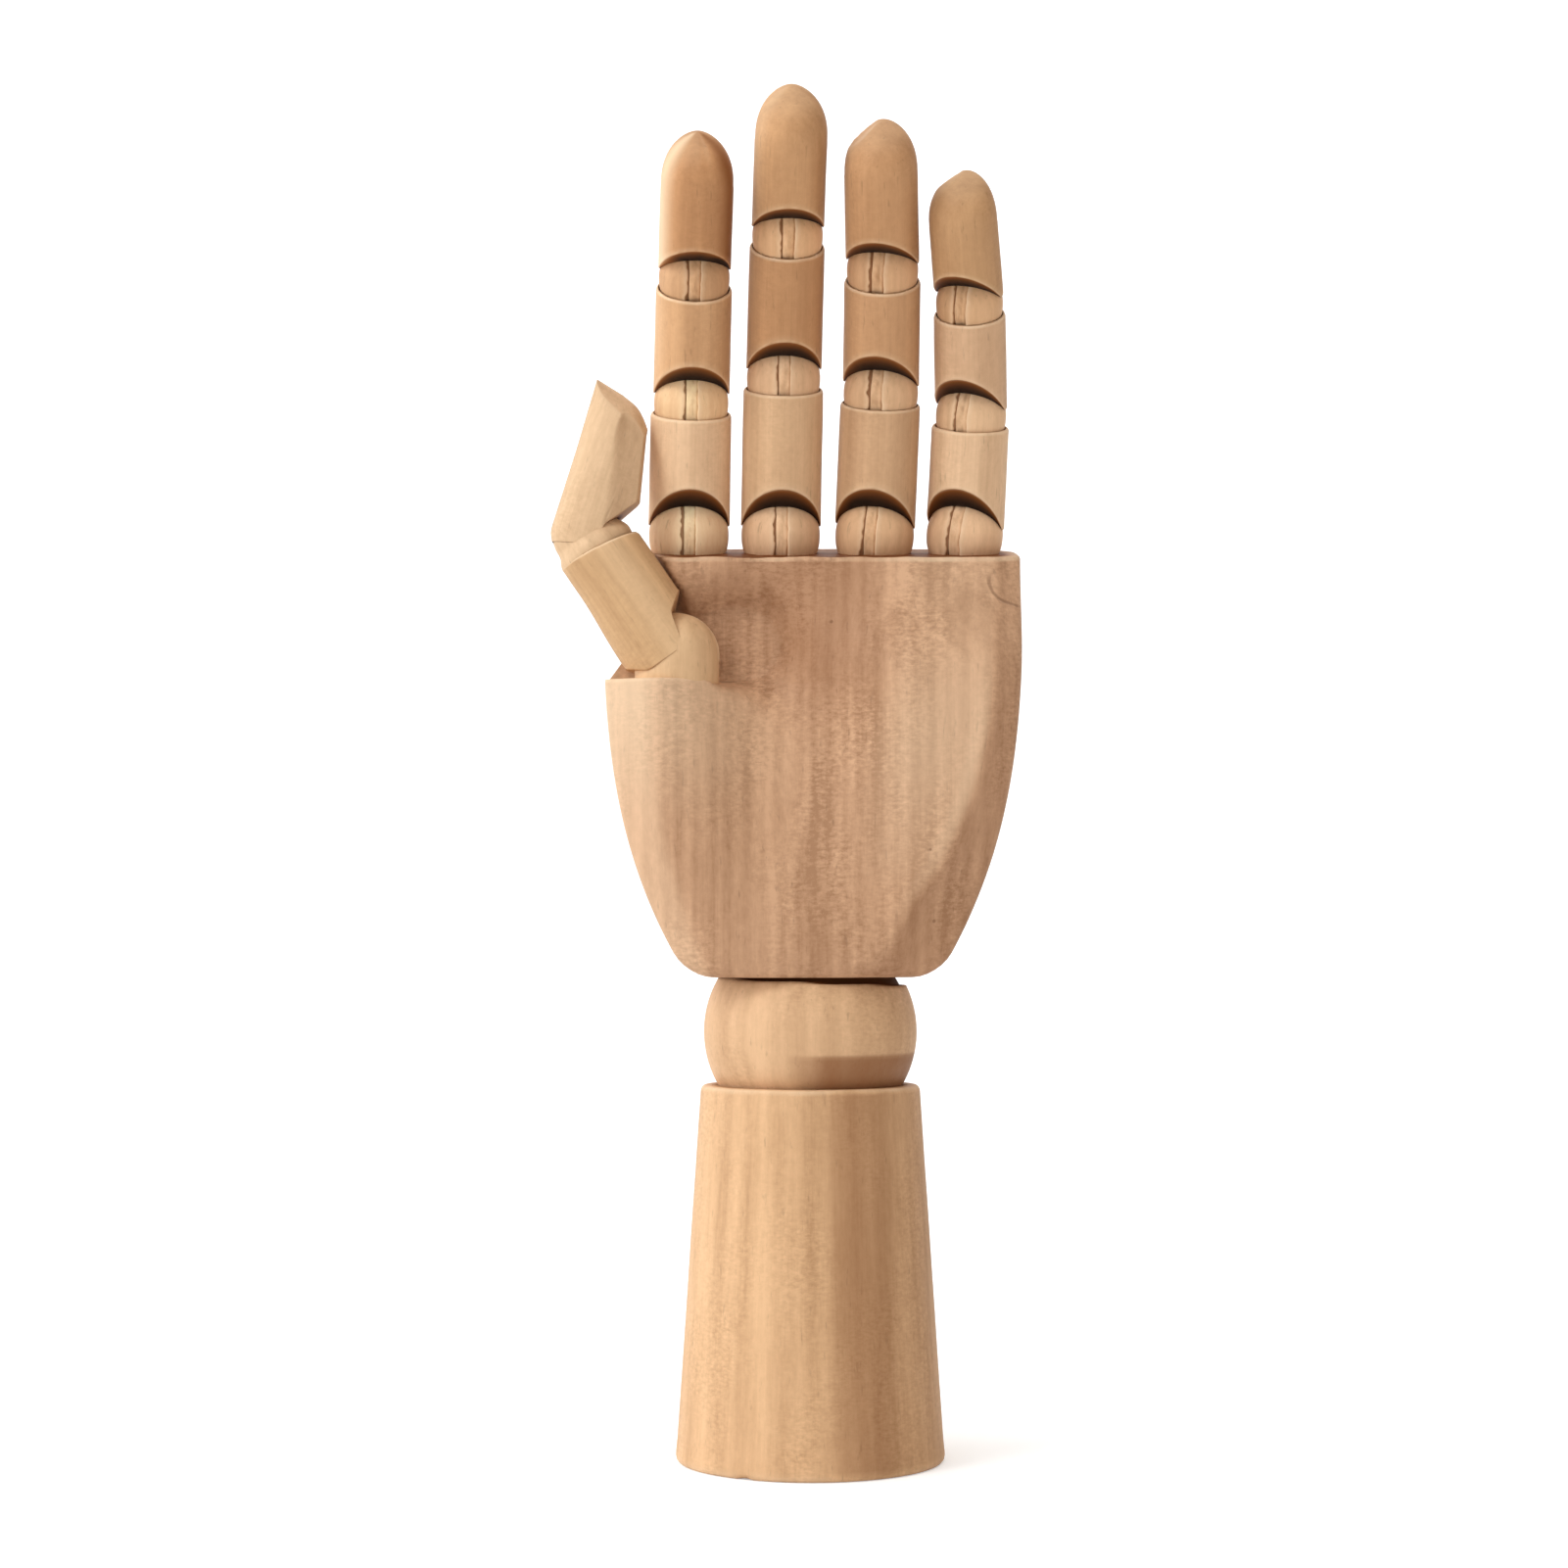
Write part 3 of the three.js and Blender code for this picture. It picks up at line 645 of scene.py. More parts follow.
def palm_point(x, y, z, above):
    """A point of the palm after carving, with its tone."""
    tone, lift = 0.0, 0.0
    if y < -1:
        y = min(-1.0, max(y, min(SCOOP_FLOOR, y + scoop(x, z, above))))
        if not above and z > LEDGE - LEDGE_EASE:
            near = (z - LEDGE + LEDGE_EASE) / LEDGE_EASE
            share = smooth((-12 - x) / 4)
            y += 0.7 * (1 - sqrt(max(0.0, 1 - near ** 2))) * share
            # The ledge's rounded front edge is paler: painted highlight
            tone = 0.2 * near * share
    if above:
        y = max(y, thumb_room(x, z))
        if z > PALM_TOP - RIM_HEIGHT:
            # The top rim is paler and uneven: partly wear, partly painted highlight
            tone = 0.28 + 0.35 * wobble(5, x / 5, y / 5, 0)
            if y < 0:
                lift = 0.28 * wobble(6, x / 7, 0.4, 0) + 0.1 * wobble(7, x / 2.2, 0, 0)
                y += 0.5 * wobble(8, x / 6, 1.0, 0)
    y += 0.06 * wobble(2, x / 9, z / 14, 3)
    if y < -1 and z > PALM_Z:
        tone += palm_light_and_shade(x, z) * smooth((-1 - y) / 7)
    past = max(0.0, (z - LEDGE) / (PALM_TOP - LEDGE))
    return x, y, z + past * y * tan(radians(PALM_SLOPE)) + lift, tone


def palm_seat(lowest):
    """Rings of the dished seat over the wrist ball, from its middle down, darkened with painted shade."""
    rim = asin((PALM_Z - WRIST_Z) / SEAT_R)
    rings = []
    for a in spread(rim, pi / 2, 8):
        r, z = SEAT_R * cos(a), WRIST_Z + SEAT_R * sin(a)
        rings.append([(x / hypot(x, y) * r, y / hypot(x, y) * r, z, -0.35) for x, y, *_ in lowest])
    return rings[::-1]


def palm_mesh():
    """Carved in front, with a slanted hollow, side facets, a thumb ledge and a soft scoop."""
    rings = []
    for z, corner, edge, above in palm_levels():
        line = eased(eased(evenly(palm_outline(z, corner, edge), PALM_SIDES)))
        rings.append([palm_point(x, y, z, above) for x, y in line])
    rim = rings[-1]
    # The lid between the balls is darkened, most in front: painted shade
    for size in (0.93, 0.75, 0.5, 0.25):
        rings.append([(mix(LID_X, x, size), y * size, mix(PALM_TOP, z, size), -0.55 if y < 1 else -0.3)
                      for x, y, z, _ in rim])
    rings = palm_seat(rings[0]) + rings
    return skin("palm_wood", rings, (0, 0, WRIST_Z + SEAT_R), (LID_X, 0, PALM_TOP))


# Phalanges
SIDES = 96
CUP_STEPS, WALL_STEPS, TIP_STEPS = 6, 14, 14
# Painted shade on the sloped cut, by its share of the way from the ball to the outside
CUT_SHADES = ((0.12, 1.0), (0.3, 0.98), (0.55, 0.88), (0.8, 0.66), (1.0, 0.34))
# Painted light along the left of every phalanx: angle round the piece from the front, half width, darkness
PAINTED_LEFT_LIGHT = (5.0, 0.7, -0.14)
# Brown streaks along single phalanges, in the same way; on the index's tip, also painted shade down its
# right and painted light down its left
STREAKS = {
    "index_distal": ((1.15, 0.75, 0.42), (0.2, 0.25, 0.04), (5.0, 0.7, -0.45)),
    "index_middle": ((1.1, 0.6, 0.1),),
    "middle_middle": ((0.5, 0.5, 0.06),),
    "ring_proximal": ((5.6, 0.8, 0.06),),
    "middle_distal": ((1.5, 0.4, 0.08),),
}
# Tip facets left by the carving: normal in the phalanx's own frame, and how far out it lies
FACETS = {
    "ring_distal": ((-0.62, 0.1, 0.778), 21.3),
    "little_distal": ((-0.66, 0.32, 0.68), 17.6),
    "index_distal": ((0.5, -0.25, 0.829), 22.9),
}


class Phalanx:
    """A round piece with a cup over the ball below, and a domed tip or the next ball's seat."""

    tilt, edge_light, gloom, swell, thin, lip_in = 0.0, 0.3, 1.0, 0.0, 0.22, 0.09

    def __init__(self, label, hinge, diameter, length, seed):
        self.hinge, self.back = hinge, hinge.back
        self.length, self.seed = length, seed
        self.radius = diameter / 2
        self.head = self.radius - 0.15
        self.ball = self.radius - hinge.inset + 0.1
        self.rise = tan(radians(hinge.bevel))
        self.facet = FACETS.get(label)
        self.streaks = STREAKS.get(label, ()) + (PAINTED_LEFT_LIGHT,)
        self.rings = []

    def at(self, r, x, y, z):
        """A point at a radius and a height; x and y are its side on the unit circle."""
        return (r * x, r * y + self.back, z)

    def cut(self, rho, y):
        """Height of the cup's edge: square behind, sloped in front."""
        return self.hinge.cup + self.rise * ramp(-y * rho - self.back, 0.5)

    def girth(self, y, z):
        """Radius of the outside at a height, with the swelling of the nail side."""
        fuller = self.swell * max(0.0, y) ** 2 * smooth((18 - z) / 14)
        return mix(self.radius, self.head, z / self.length) + fuller

    def meet(self, y):
        """Where the sloped cut comes to the ball."""
        low, high = 0.0, self.radius - self.thin
        for _ in range(24):
            rho = (low + high) / 2
            inside = self.ball ** 2 - rho * rho * (1 - y * y) - (rho * y + self.back) ** 2
            if inside > 0 and sqrt(inside) > self.cut(rho, y):
                low = rho
            else:
                high = rho
        return low

    def pared(self, p):
        """A point moved in to the carved facet, if it lies past it."""
        if not self.facet:
            return p
        normal, out = self.facet
        over = max(0.0, sum(n * c for n, c in zip(normal, p)) - out)
        return tuple(c - n * over for n, c in zip(normal, p))

    def chip(self, i):
        """Raggedness of an edge."""
        _, x, y = around(i, SIDES)
        return wobble(self.seed, 3.1 * x, -3.1 * y, 0.5) + 0.5 * wobble(self.seed + 3, 9 * x, -9 * y, 1.5)

    def add(self, place, tone):
        """A ring from a place for each side, with one tone or a tone for each point."""
        ring = []
        for i in range(SIDES):
            a, x, y = around(i, SIDES)
            p = self.pared(place(x, y, i))
            # Streaks darken each point by its side, and the painted light along the left lightens it
            dark = sum(depth * bell((a - middle) / half) for middle, half, depth in self.streaks)
            ring.append((*p, (tone(p) if callable(tone) else tone) - dark))
        self.rings.append(ring)

    def add_cup(self):
        """The hollow over the ball and the sloped cut round it, both darkened with painted shade."""
        meets = [self.meet(around(i, SIDES)[2]) for i in range(SIDES)]
        for k in range(CUP_STEPS):
            def bowl(x, y, i):
                rho = meets[i] * (k + 1) / CUP_STEPS
                inside = self.ball ** 2 - (rho * x) ** 2 - (rho * y + self.back) ** 2
                return self.at(rho, x, y, sqrt(max(inside, 0.01)))
            self.add(bowl, -self.gloom)
        for share, dark in CUT_SHADES:
            def face(x, y, i):
                rho = mix(meets[i], self.girth(y, 0) - self.thin, share)
                return self.at(rho, x, y, self.cut(rho, y) + 0.02)
            self.add(face, -self.gloom * dark)

    def add_lip(self, inset, lift):
        """The ragged lower edge of the outside."""
        def spot(x, y, i):
            r = self.girth(y, 0) - inset
            return self.at(r, x, y, self.cut(r, y) + lift + 0.05 * self.chip(i))

        def light(p):
            return self.edge_light * (0.75 + 0.5 * wobble(self.seed + 2, p[0], p[1], p[2] * 0.3))
        self.add(spot, light)

    def add_wall(self, end):
        """The round outside, a little uneven, up to the tip's dome or the seat."""
        for k in range(WALL_STEPS + 1):
            def spot(x, y, i):
                start = self.cut(self.girth(y, 0), y) + 0.45
                z = mix(start, end - 0.6 + self.tilt * self.radius * y, k / WALL_STEPS)
                r = self.girth(y, z) + 0.06 * wobble(self.seed, x * 1.8, y * 1.8, z / 9)
                return self.at(r, x, y, z)
            self.add(spot, self.edge_light * 0.3 if k == 0 else 0.0)

    def add_tip(self):
        """A full dome, drawn towards the nail side; gives its last point."""
        for k in range(TIP_STEPS):
            a = pi / 2 * k / TIP_STEPS
            r = self.head * cos(a) ** (2 / TIP_FULL)
            z = self.length - TIP_DOME * (1 - sin(a) ** (2 / TIP_FULL))
            draw = TIP_DRAW * (self.head - r) + self.back
            # Paler towards the top of the dome: painted highlight
            self.add(lambda x, y, i: (r * x, r * y + draw, z), 0.12 * smooth((k - 5) / 6))
        return self.pared((0, TIP_DRAW * self.head + self.back, self.length))

    def add_rim(self, end, inset, drop, tone):
        """A chipped ring of the seat's rim."""
        r = self.head - inset

        def spot(x, y, i):
            return self.at(r, x, y, end - drop + 0.05 * self.chip(i) + self.tilt * r * y)
        self.add(spot, tone)

    def add_seat(self, end, next_ball):
        """A rim, paler from wear and painted highlight, and a hole for the next ball, darkened with painted
        shade; gives its last point.
        """
        def rim_wear_and_light(light, more):
            return lambda p: light + 0.25 * wobble(self.seed + more, p[0], p[1], 2.0)
        for rim in ((0.0, 0.5, 0.1), (0.13, 0.18, rim_wear_and_light(0.5, 4)), (0.42, 0.0, rim_wear_and_light(0.42, 5))):
            self.add_rim(end, *rim)
        r = next_ball + 0.1
        floor = self.length - next_ball - 0.2
        # The hole's edge and floor are darkened: painted shade
        self.add(lambda x, y, i: self.at(r, x, y, end - 0.06 + self.tilt * r * y), -0.3)
        self.add(lambda x, y, i: self.at(r, x, y, floor), -0.8)
        return (0, self.back, floor)

    def mesh(self, name, seat, next_ball):
        """The whole skin; without a next ball the piece ends in a tip."""
        end = self.length - (seat if next_ball else TIP_DOME)
        self.add_cup()
        self.add_lip(self.lip_in, 0.0)
        self.add_lip(0.0, 0.2)
        self.add_wall(end)
        last = self.add_seat(end, next_ball) if next_ball else self.add_tip()
        return skin(name, self.rings, (0, self.back, sqrt(self.ball ** 2 - self.back ** 2)), last)


class ThumbPhalanx(Phalanx):
    """The thumb's first piece: swollen behind, thin at its lower edge, with a tilted seat."""

    tilt, edge_light, gloom, swell, thin, lip_in = 0.14, 0.03, 0.12, THUMB_SWELL, 0.06, 0.03

    def cut(self, rho, y):
        """Lower edge: notched on the palm side, clear of the ledge behind."""
        y = rho * y + self.back
        return 6.4 * smooth((-1.4 - y) / 2.2) + 0.81 * ramp(-3.5 - y, 0.2) + ramp(0.917 * y - 5.3)


# Knuckles: sides of the slot, depth of its floor, and how square they are below the pin
KNUCKLE_SIDES, KNUCKLE_STEPS = 112, 13
SLOT_LEFT, SLOT_RIGHT, SLOT_DEPTH, SLOT_EDGE = -1.36, 0.98, 2.2, 0.34
FINGER_SQUARE = 2.4
THUMB_SHAPES = {"thumb_proximal": (0.0, 7.0), "thumb_distal": (THUMB_FLARE, 5.0)}
# Rings of the slot: place, rise over the ball (None: the floor), raggedness, tone, furthest place if any
# Tones: the slot's walls and floor are darkened with painted shade; its pale edges are partly a rubbed burr,
# partly painted highlight
SLOT_RINGS = (
    (SLOT_LEFT - SLOT_EDGE, 0.04, 0.9, 0.24, -1.46),
    (SLOT_LEFT - 0.12, -0.03, 1.0, 0.08, -1.3),
    (SLOT_LEFT, -0.16, 1.0, -0.22, -1.2),
    (SLOT_LEFT + 0.08, -0.34, 1.0, -0.38, -1.13),
    (-1.1, -0.36, 0.0, -0.3),
    (-1.08, None, 0.0, -0.5),
    (0.0, None, 0.0, -0.5),
    (SLOT_RIGHT - 0.06, None, 0.2, -0.5),
    (SLOT_RIGHT, -0.06, 0.2, 0.1),
    (SLOT_RIGHT + 0.1, 0.1, 0.35, 0.42),
    (SLOT_RIGHT + 0.3, 0.08, 0.7, 0.3),
)


def knuckle_rings(ball):
    """The slot's rings with the domed sides to its left and right."""
    left = asin((SLOT_EDGE - SLOT_LEFT) / ball)
    right = asin((SLOT_RIGHT + SLOT_EDGE) / ball)
    shares = [k / KNUCKLE_STEPS for k in range(1, KNUCKLE_STEPS)]
    rings = [(-ball * sin(mix(pi / 2, left, t)), 0.0, 0.0, 0.0) for t in shares]
    rings += SLOT_RINGS
    for t in shares:
        ragged = 0.6 if t == shares[0] else 0.0
        rings.append((ball * sin(mix(right, pi / 2, t)), 0.0, ragged, 0.0))
    return rings


def knuckle_mesh(name, ball, seed, flare, square):
    """A domed knuckle with a ragged slot; the thumb's are squarer, with a slot closed below the pin."""
    floor = ball - SLOT_DEPTH
    rings = []

    def surface(x):
        return sqrt(max(ball * ball - x * x, 0.0004))

    def squared(x, y, z):
        """A point moved out below the pin."""
        flat = hypot(x, y)
        whole = sqrt(flat * flat + z * z)
        if z >= 0 or flat <= 1e-6:
            return (x, y, z)
        s = -z / whole
        wide = whole * (1 - s ** square) ** (1 / square)
        if whole > floor + 1:
            wide += flare * smooth(s / 0.5)
        return (x * wide / flat, y * wide / flat, z)

    for x, rise, ragged, tone, *most in knuckle_rings(ball):
        ring = []
        for i in range(KNUCKLE_SIDES):
            a = 2 * pi * i / KNUCKLE_SIDES
            c, s = cos(a), sin(a)
            push = 0.5 * wobble(seed, 2.9 * c, 2.9 * s, 0.3 * x)
            push += 0.34 * wobble(seed + 31, 7 * c, 7 * s, 0.3 * x)
            px = min([x + ragged * push] + most)
            r = floor if rise is None else surface(px) + rise
            closed = smooth(ball * s - 0.5) if square > FINGER_SQUARE else 0.0
            r = mix(r, surface(px), closed)
            ring.append((*squared(px, -r * c, -r * s), tone * (1 - closed)))
        rings.append(ring)
    return skin(name, rings, (-ball, 0, 0), (ball, 0, 0))


# Tongues: half width of the tenon, half thickness, and rings as place, inset and tone
TENON_HALF, TONGUE_HALF = 2.4, 1.05
LEDGE_ROOM = 3.5
TONGUE_RINGS = (
    (-TONGUE_HALF, 0.2, -0.12), (-TONGUE_HALF + 0.1, 0.06, 0.1), (-TONGUE_HALF + 0.5, 0.02, 0.06),
    (0.15, 0.1, -0.04), (0.5, 0.03, 0.08), (TONGUE_HALF - 0.2, 0.08, -0.1), (TONGUE_HALF, 0.12, -0.2),
)


def tongue_outline(eye, top):
    """A round eye on the pin with a tenon up to its top, seen along the pin."""
    shoulder = asin(TENON_HALF / eye)
    low = eye * cos(shoulder)
    points = []
    for k in range(69):
        a = mix(pi / 2 + shoulder, pi / 2 - shoulder + 2 * pi, k / 68)
        points.append((eye * cos(a), eye * sin(a)))
    points += [(TENON_HALF, mix(low, top, k / 8)) for k in range(1, 9)]
    points += [(mix(TENON_HALF, -TENON_HALF, k / 4), top) for k in range(1, 4)]
    points += [(-TENON_HALF, z) for z in spread(top, low, 8)]
    return points


def tongue_mesh(name, eye, top, seed, lean=None):
    """A tongue, a little rough all round; one that leans is cut off over the ledge."""
    rings = []
    for x, inset, tone in TONGUE_RINGS:
        ring = []
        for i, (y, z) in enumerate(tongue_outline(eye, top)):
            size = hypot(y, z)
            rough = 0.14 * wobble(seed, i * 0.3, x * 1.4, 1.5)
            rough += 0.07 * wobble(seed + 5, i * 0.9, x * 3.0, 4.0)
            keep = (size - inset + rough) / size
            side = 0.04 * wobble(seed + 7, i * 0.25, 2.0)
            y, z = y * keep, z * keep
            if lean is not None:
                over = max(0.0, y * sin(lean) - z * cos(lean) - LEDGE_ROOM)
                y, z = y - over * sin(lean), z + over * cos(lean)
            ring.append((x + side, y, z, tone + 0.2 * wobble(seed + 9, i * 0.4, x * 2)))
        rings.append(ring)
    return skin(name, rings, (-TONGUE_HALF, 0, 0), (TONGUE_HALF, 0, 0))


# The thumb's end piece by height over its pin: nail side, palm side, ridge between its flats, half width
NAIL_AT = ((-4, 6.2), (0, 6.25), (14, 6.2), (27, 6.45))
PAD_AT = ((-4, -6.2), (0, -6.3), (4, -7.0), (8.4, -7.15), (19.8, -4.75), (21.4, -4.45), (27, -4.2))
RIDGE_AT = ((0, -2.9), (2, -2.6), (14, -0.9), (21, 1.3), (27, 3.0))
HALF_AT = ((-4, 6.1), (0, 6.3), (8, 6.2), (16, 5.7), (22, 4.9), (27, 4.3))
THUMB_STEPS = 30
# Rings of the roof: size, and a pale tone at its edge and middle: painted highlight
ROOF_SIZES = ((0.94, 0.1), (0.75, 0.0), (0.5, 0.0), (0.28, 0.08), (0.1, 0.14))
ROOF_MIDDLE = 1.4


def thumb_section(z, i):
    """A point of the outline at a height: round behind, flat from a slanted ridge to the palm side."""
    pad, half = along(PAD_AT, z), along(HALF_AT, z)
    _, x, c = around(i, SIDES)
    if c > 0:
        return half * x, along(NAIL_AT, z) * c
    y = -pad * c
    ridge = along(RIDGE_AT, z)
    full = mix(abs(x), (1 - abs(c) ** 3) ** (1 / 3), smooth((z - 1) / 4))
    flat = 1 - 0.5 * max(0.0, ridge - y) / (ridge - pad) if z > 1 else 1.0
    return copysign(half * min(full, flat), x), y


def thumb_roof(x, y):
    """Height of the end: a ridge over the middle, sloping to both sides and to the palm."""
    top = 24.55 + 0.325 * y + 0.35 * bell((y - 1) / 5.4) - 0.16 * ramp(-1 - y) ** 2
    return top - 0.8 * (sqrt(x * x + 0.5) - 0.7)


def thumb_cut(y):
    """Lower edge: drawn down round the ball, with a steep notch on the palm side."""
    return -2.1 - 0.9 * smooth((y + 1.9) / 7.8) + 4.3 * smooth((-2.2 - y) / 0.8) + 1.45 * ramp(-y - 2.9, 0.2)


def thumb_outside(z, i, outer):
    """A point of the outside; below the pin it closes in on a ball."""
    x, y = thumb_section(z, i)
    if z < 0:
        keep = min(1.0, sqrt(max(0.1, outer ** 2 - z * z)) / hypot(x, y))
        x, y = x * keep, y * keep
    return x, y


def thumb_low(i, inner):
    """The lower edge at a side, found in a few rounds."""
    z = 0.0
    for _ in range(6):
        x, y = thumb_outside(z, i, inner + 0.08)
        z = thumb_cut(y)
    return x, y, z


def thumb_hollow(base, inner):
    """Rings of the hollow over the knuckle, from its middle down, darkened with painted shade."""
    rings = [[] for _ in range(CUP_STEPS)]
    for x, y, _ in base:
        r = hypot(x, y)
        end = pi / 2
        while end > -1.0 and inner * sin(end) > thumb_cut(y / r * inner * cos(end)):
            end -= 0.01
        for k, ring in enumerate(rings):
            a = mix(pi / 2, end, (k + 1) / CUP_STEPS)
            c = cos(a)
            ring.append((x / r * inner * c, y / r * inner * c, inner * sin(a), -0.7))
    return rings


def thumb_top(i):
    """Height of the upper edge at a side, found in a few rounds."""
    z = 22.0
    for _ in range(6):
        z = thumb_roof(*thumb_section(z, i))
    return z


def thumb_tip_mesh(name, ball, seed):
    """Straight on the nail side, with two flats to the palm and a roof-shaped end."""
    inner = ball + 0.06
    base = [thumb_low(i, inner) for i in range(SIDES)]
    tops = [thumb_top(i) for i in range(SIDES)]
    rings = thumb_hollow(base, inner)
    inmost = rings[-1]
    # The cut face is darkened on the palm side: painted shade
    for share, dark in ((0.3, 0.3), (0.7, 0.2), (0.97, 0.06)):
        ring = []
        for p, (x, y, _) in zip(inmost, base):
            py = mix(p[1], y, share)
            ring.append((mix(p[0], x, share), py, thumb_cut(py) + 0.02, -dark * smooth((-1 - y) / 2)))
        rings.append(ring)
    for k in range(THUMB_STEPS + 1):
        ring = []
        for i, (_, _, low) in enumerate(base):
            z = mix(low + 0.1, tops[i], (k / THUMB_STEPS) ** 1.15)
            x, y = thumb_outside(z, i, inner + 0.08 + 0.12 * smooth((z - low) / 2))
            if 0 < k < THUMB_STEPS:
                x += 0.05 * wobble(seed, x / 3, y / 3, z / 7)
            # The flats past the ridge are a little darker: painted shade; the top edge is paler: painted
            # highlight
            tone = 0.14 if k == THUMB_STEPS else -0.06 * smooth((along(RIDGE_AT, z) - y) / 1.2)
            ring.append((x, y, z, tone))
        rings.append(ring)
    upper = rings[-1]
    for size, tone in ROOF_SIZES:
        rings.append([(x * size, y, thumb_roof(x * size, y), tone) for x, y, *_ in upper])
    return skin(name, rings, (0, 0, inner), (0, ROOF_MIDDLE, thumb_roof(0, ROOF_MIDDLE)))


# Mean colours of the wood, from the root to the tip for phalanges and balls; every piece is another blank,
# and the balls are made paler with painted light
FOREARM_TINT, WRIST_TINT, PALM_TINT = (207, 167, 127), (207, 168, 130), (191, 151, 119)
TINTS = {
    "index": ((226, 189, 152), (203, 158, 116), (188, 139, 97)),
    "middle": ((209, 171, 133), (188, 141, 100), (194, 149, 107)),
    "ring": ((201, 162, 125), (194, 149, 109), (191, 145, 104)),
    "little": ((220, 184, 148), (208, 170, 135), (191, 149, 108)),
    "thumb": ((204, 166, 124), (213, 180, 144)),
}
# Balls: paler than their wood, painted light against the shade of the cups round them; the index's lower two
# most, against the thumb's shadow
BALL_TINTS_LIT = {
    "index": ((250, 206, 166), (246, 200, 156), (203, 159, 119)),
    "middle": ((228, 188, 150), (222, 182, 144), (225, 180, 137)),
    "ring": ((224, 182, 142), (216, 176, 138), (212, 168, 128)),
    "little": ((228, 188, 150), (224, 186, 148), (212, 170, 130)),
    "thumb": ((218, 182, 142), (213, 180, 144)),
}


# The pieces in their places
def dress_steel():
    """Pins and spring keep their solids and get drawn wire."""
    metal = steel("drawn_wire")
    for name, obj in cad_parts.items():
        if name.endswith("_pin") or name == "wrist_spring":
            obj.data.materials.clear()
            obj.data.materials.append(metal)


def add_arm():
    """Forearm, wrist ball and palm."""
    forearm = wood("wood_forearm", shades(FOREARM_TINT, 1.15), 6.0, 1, turn=0.15, figured=0.6)
    piece("forearm_wood", forearm_mesh(), "forearm", "forearm", forearm)
    wrist = wood("wood_wrist", shades(WRIST_TINT), 5.0, 2, 0.9, 0.3, figured=0.5)
    piece("wrist_ball_wood", wrist_ball_mesh(), "wrist_ball", "wrist_ball", wrist,
          shift(0, 0, WRIST_Z))
    palm = wood("wood_palm", shades(PALM_TINT, 1.3), 2.9, 3, 1.3, 0.05, figured=1.0, marks=palm_marks)
    piece("palm_wood", palm_mesh(), "palm", "palm", palm)


def add_hinge(label, below, lower, upper, ball, top, tint, seed):
    """Knuckle on the body below and tongue in the phalanx above."""
    flare, square = THUMB_SHAPES.get(label, (0.0, FINGER_SQUARE))
    lean = radians(THUMB_LEAN) if label == "thumb_proximal" else None
    name = f"{label}_ball"
    piece(name, knuckle_mesh(name, ball, seed, flare, square), below, f"{label}_knuckle",
          wood(f"wood_{name}", shades(tint), 3.0, seed + 40, 0.9, 0.4), lower)
    name = f"{label}_eye"
    piece(name, tongue_mesh(name, ball - 0.22, top, seed, lean), label, f"{label}_tongue",
          wood(f"wood_{name}", shades(tint, 1.3), 2.0, seed + 80, 1.2, 0.9, 0.65), upper)


def add_chain(name, base, root, hinges, bends, diameters, lengths, seed):
    """The phalanges of one finger or the thumb, each with the hinge under it."""
    thumb = name == "thumb"
    parts = ("proximal", "distal") if thumb else ("proximal", "middle", "distal")
    balls = [diameter / 2 - hinge.inset for diameter, hinge in zip(diameters, hinges)]
    lower, upper, below = base, root, f"{name}_base"
    for i, part in enumerate(parts):
        tip = i == len(parts) - 1
        label, length = f"{name}_{part}", lengths[i]
        seat = 0.0 if tip else hinges[i + 1].seat
        next_ball = 0.0 if tip else balls[i + 1] + (THUMB_FLARE if thumb else 0.0)
        top = balls[i] + (5 if tip else 0.5 * (length - next_ball - balls[i] - 3))
        add_hinge(label, below, lower, upper, balls[i], top, BALL_TINTS_LIT[name][i], seed + i)
        material = wood(f"wood_{label}", shades(TINTS[name][i]), 3.4, seed + i, turn=0.25 * (i + seed % 5),
                        figured=0.35)
        if thumb and tip:
            mesh = thumb_tip_mesh(f"{label}_wood", balls[i], seed + i)
        else:
            kind = ThumbPhalanx if thumb else Phalanx
            phalanx = kind(label, hinges[i], diameters[i], length, seed + i)
            mesh = phalanx.mesh(f"{label}_wood", seat, next_ball)
        piece(f"{label}_wood", mesh, label, label, material, upper)
        if not tip:
            lower = upper @ shift(0, THUMB_BACK if thumb else 0, length)
            upper = lower @ rotation("X", bends[i + 1])
            below = label


def add_fingers():
    """Four fingers along the palm's sloped top, and the thumb on its ledge."""
    for n, (name, finger) in enumerate(FINGERS.items()):
        stand = shift(finger.x, 0, ROOT_Z) @ rotation("Y", finger.lean) @ rotation("Z", finger.turn)
        base = stand @ rotation("X", PALM_SLOPE)
        root = stand @ rotation("X", PALM_SLOPE + FINGER_BENDS[0])
        add_chain(name, base, root, (ROOT_HINGE, FINGER_HINGE, FINGER_HINGE), FINGER_BENDS, finger.diameters,
                  finger.lengths, 10 + 4 * n)
    stand = shift(*THUMB_AT) @ rotation("Z", 90)
    add_chain("thumb", stand, stand @ rotation("X", -THUMB_LEAN), (THUMB_ROOT_HINGE, THUMB_HINGE),
              THUMB_BENDS, THUMB_DIAMETERS, THUMB_LENGTHS, 27)


dress_steel()
add_arm()
add_fingers()

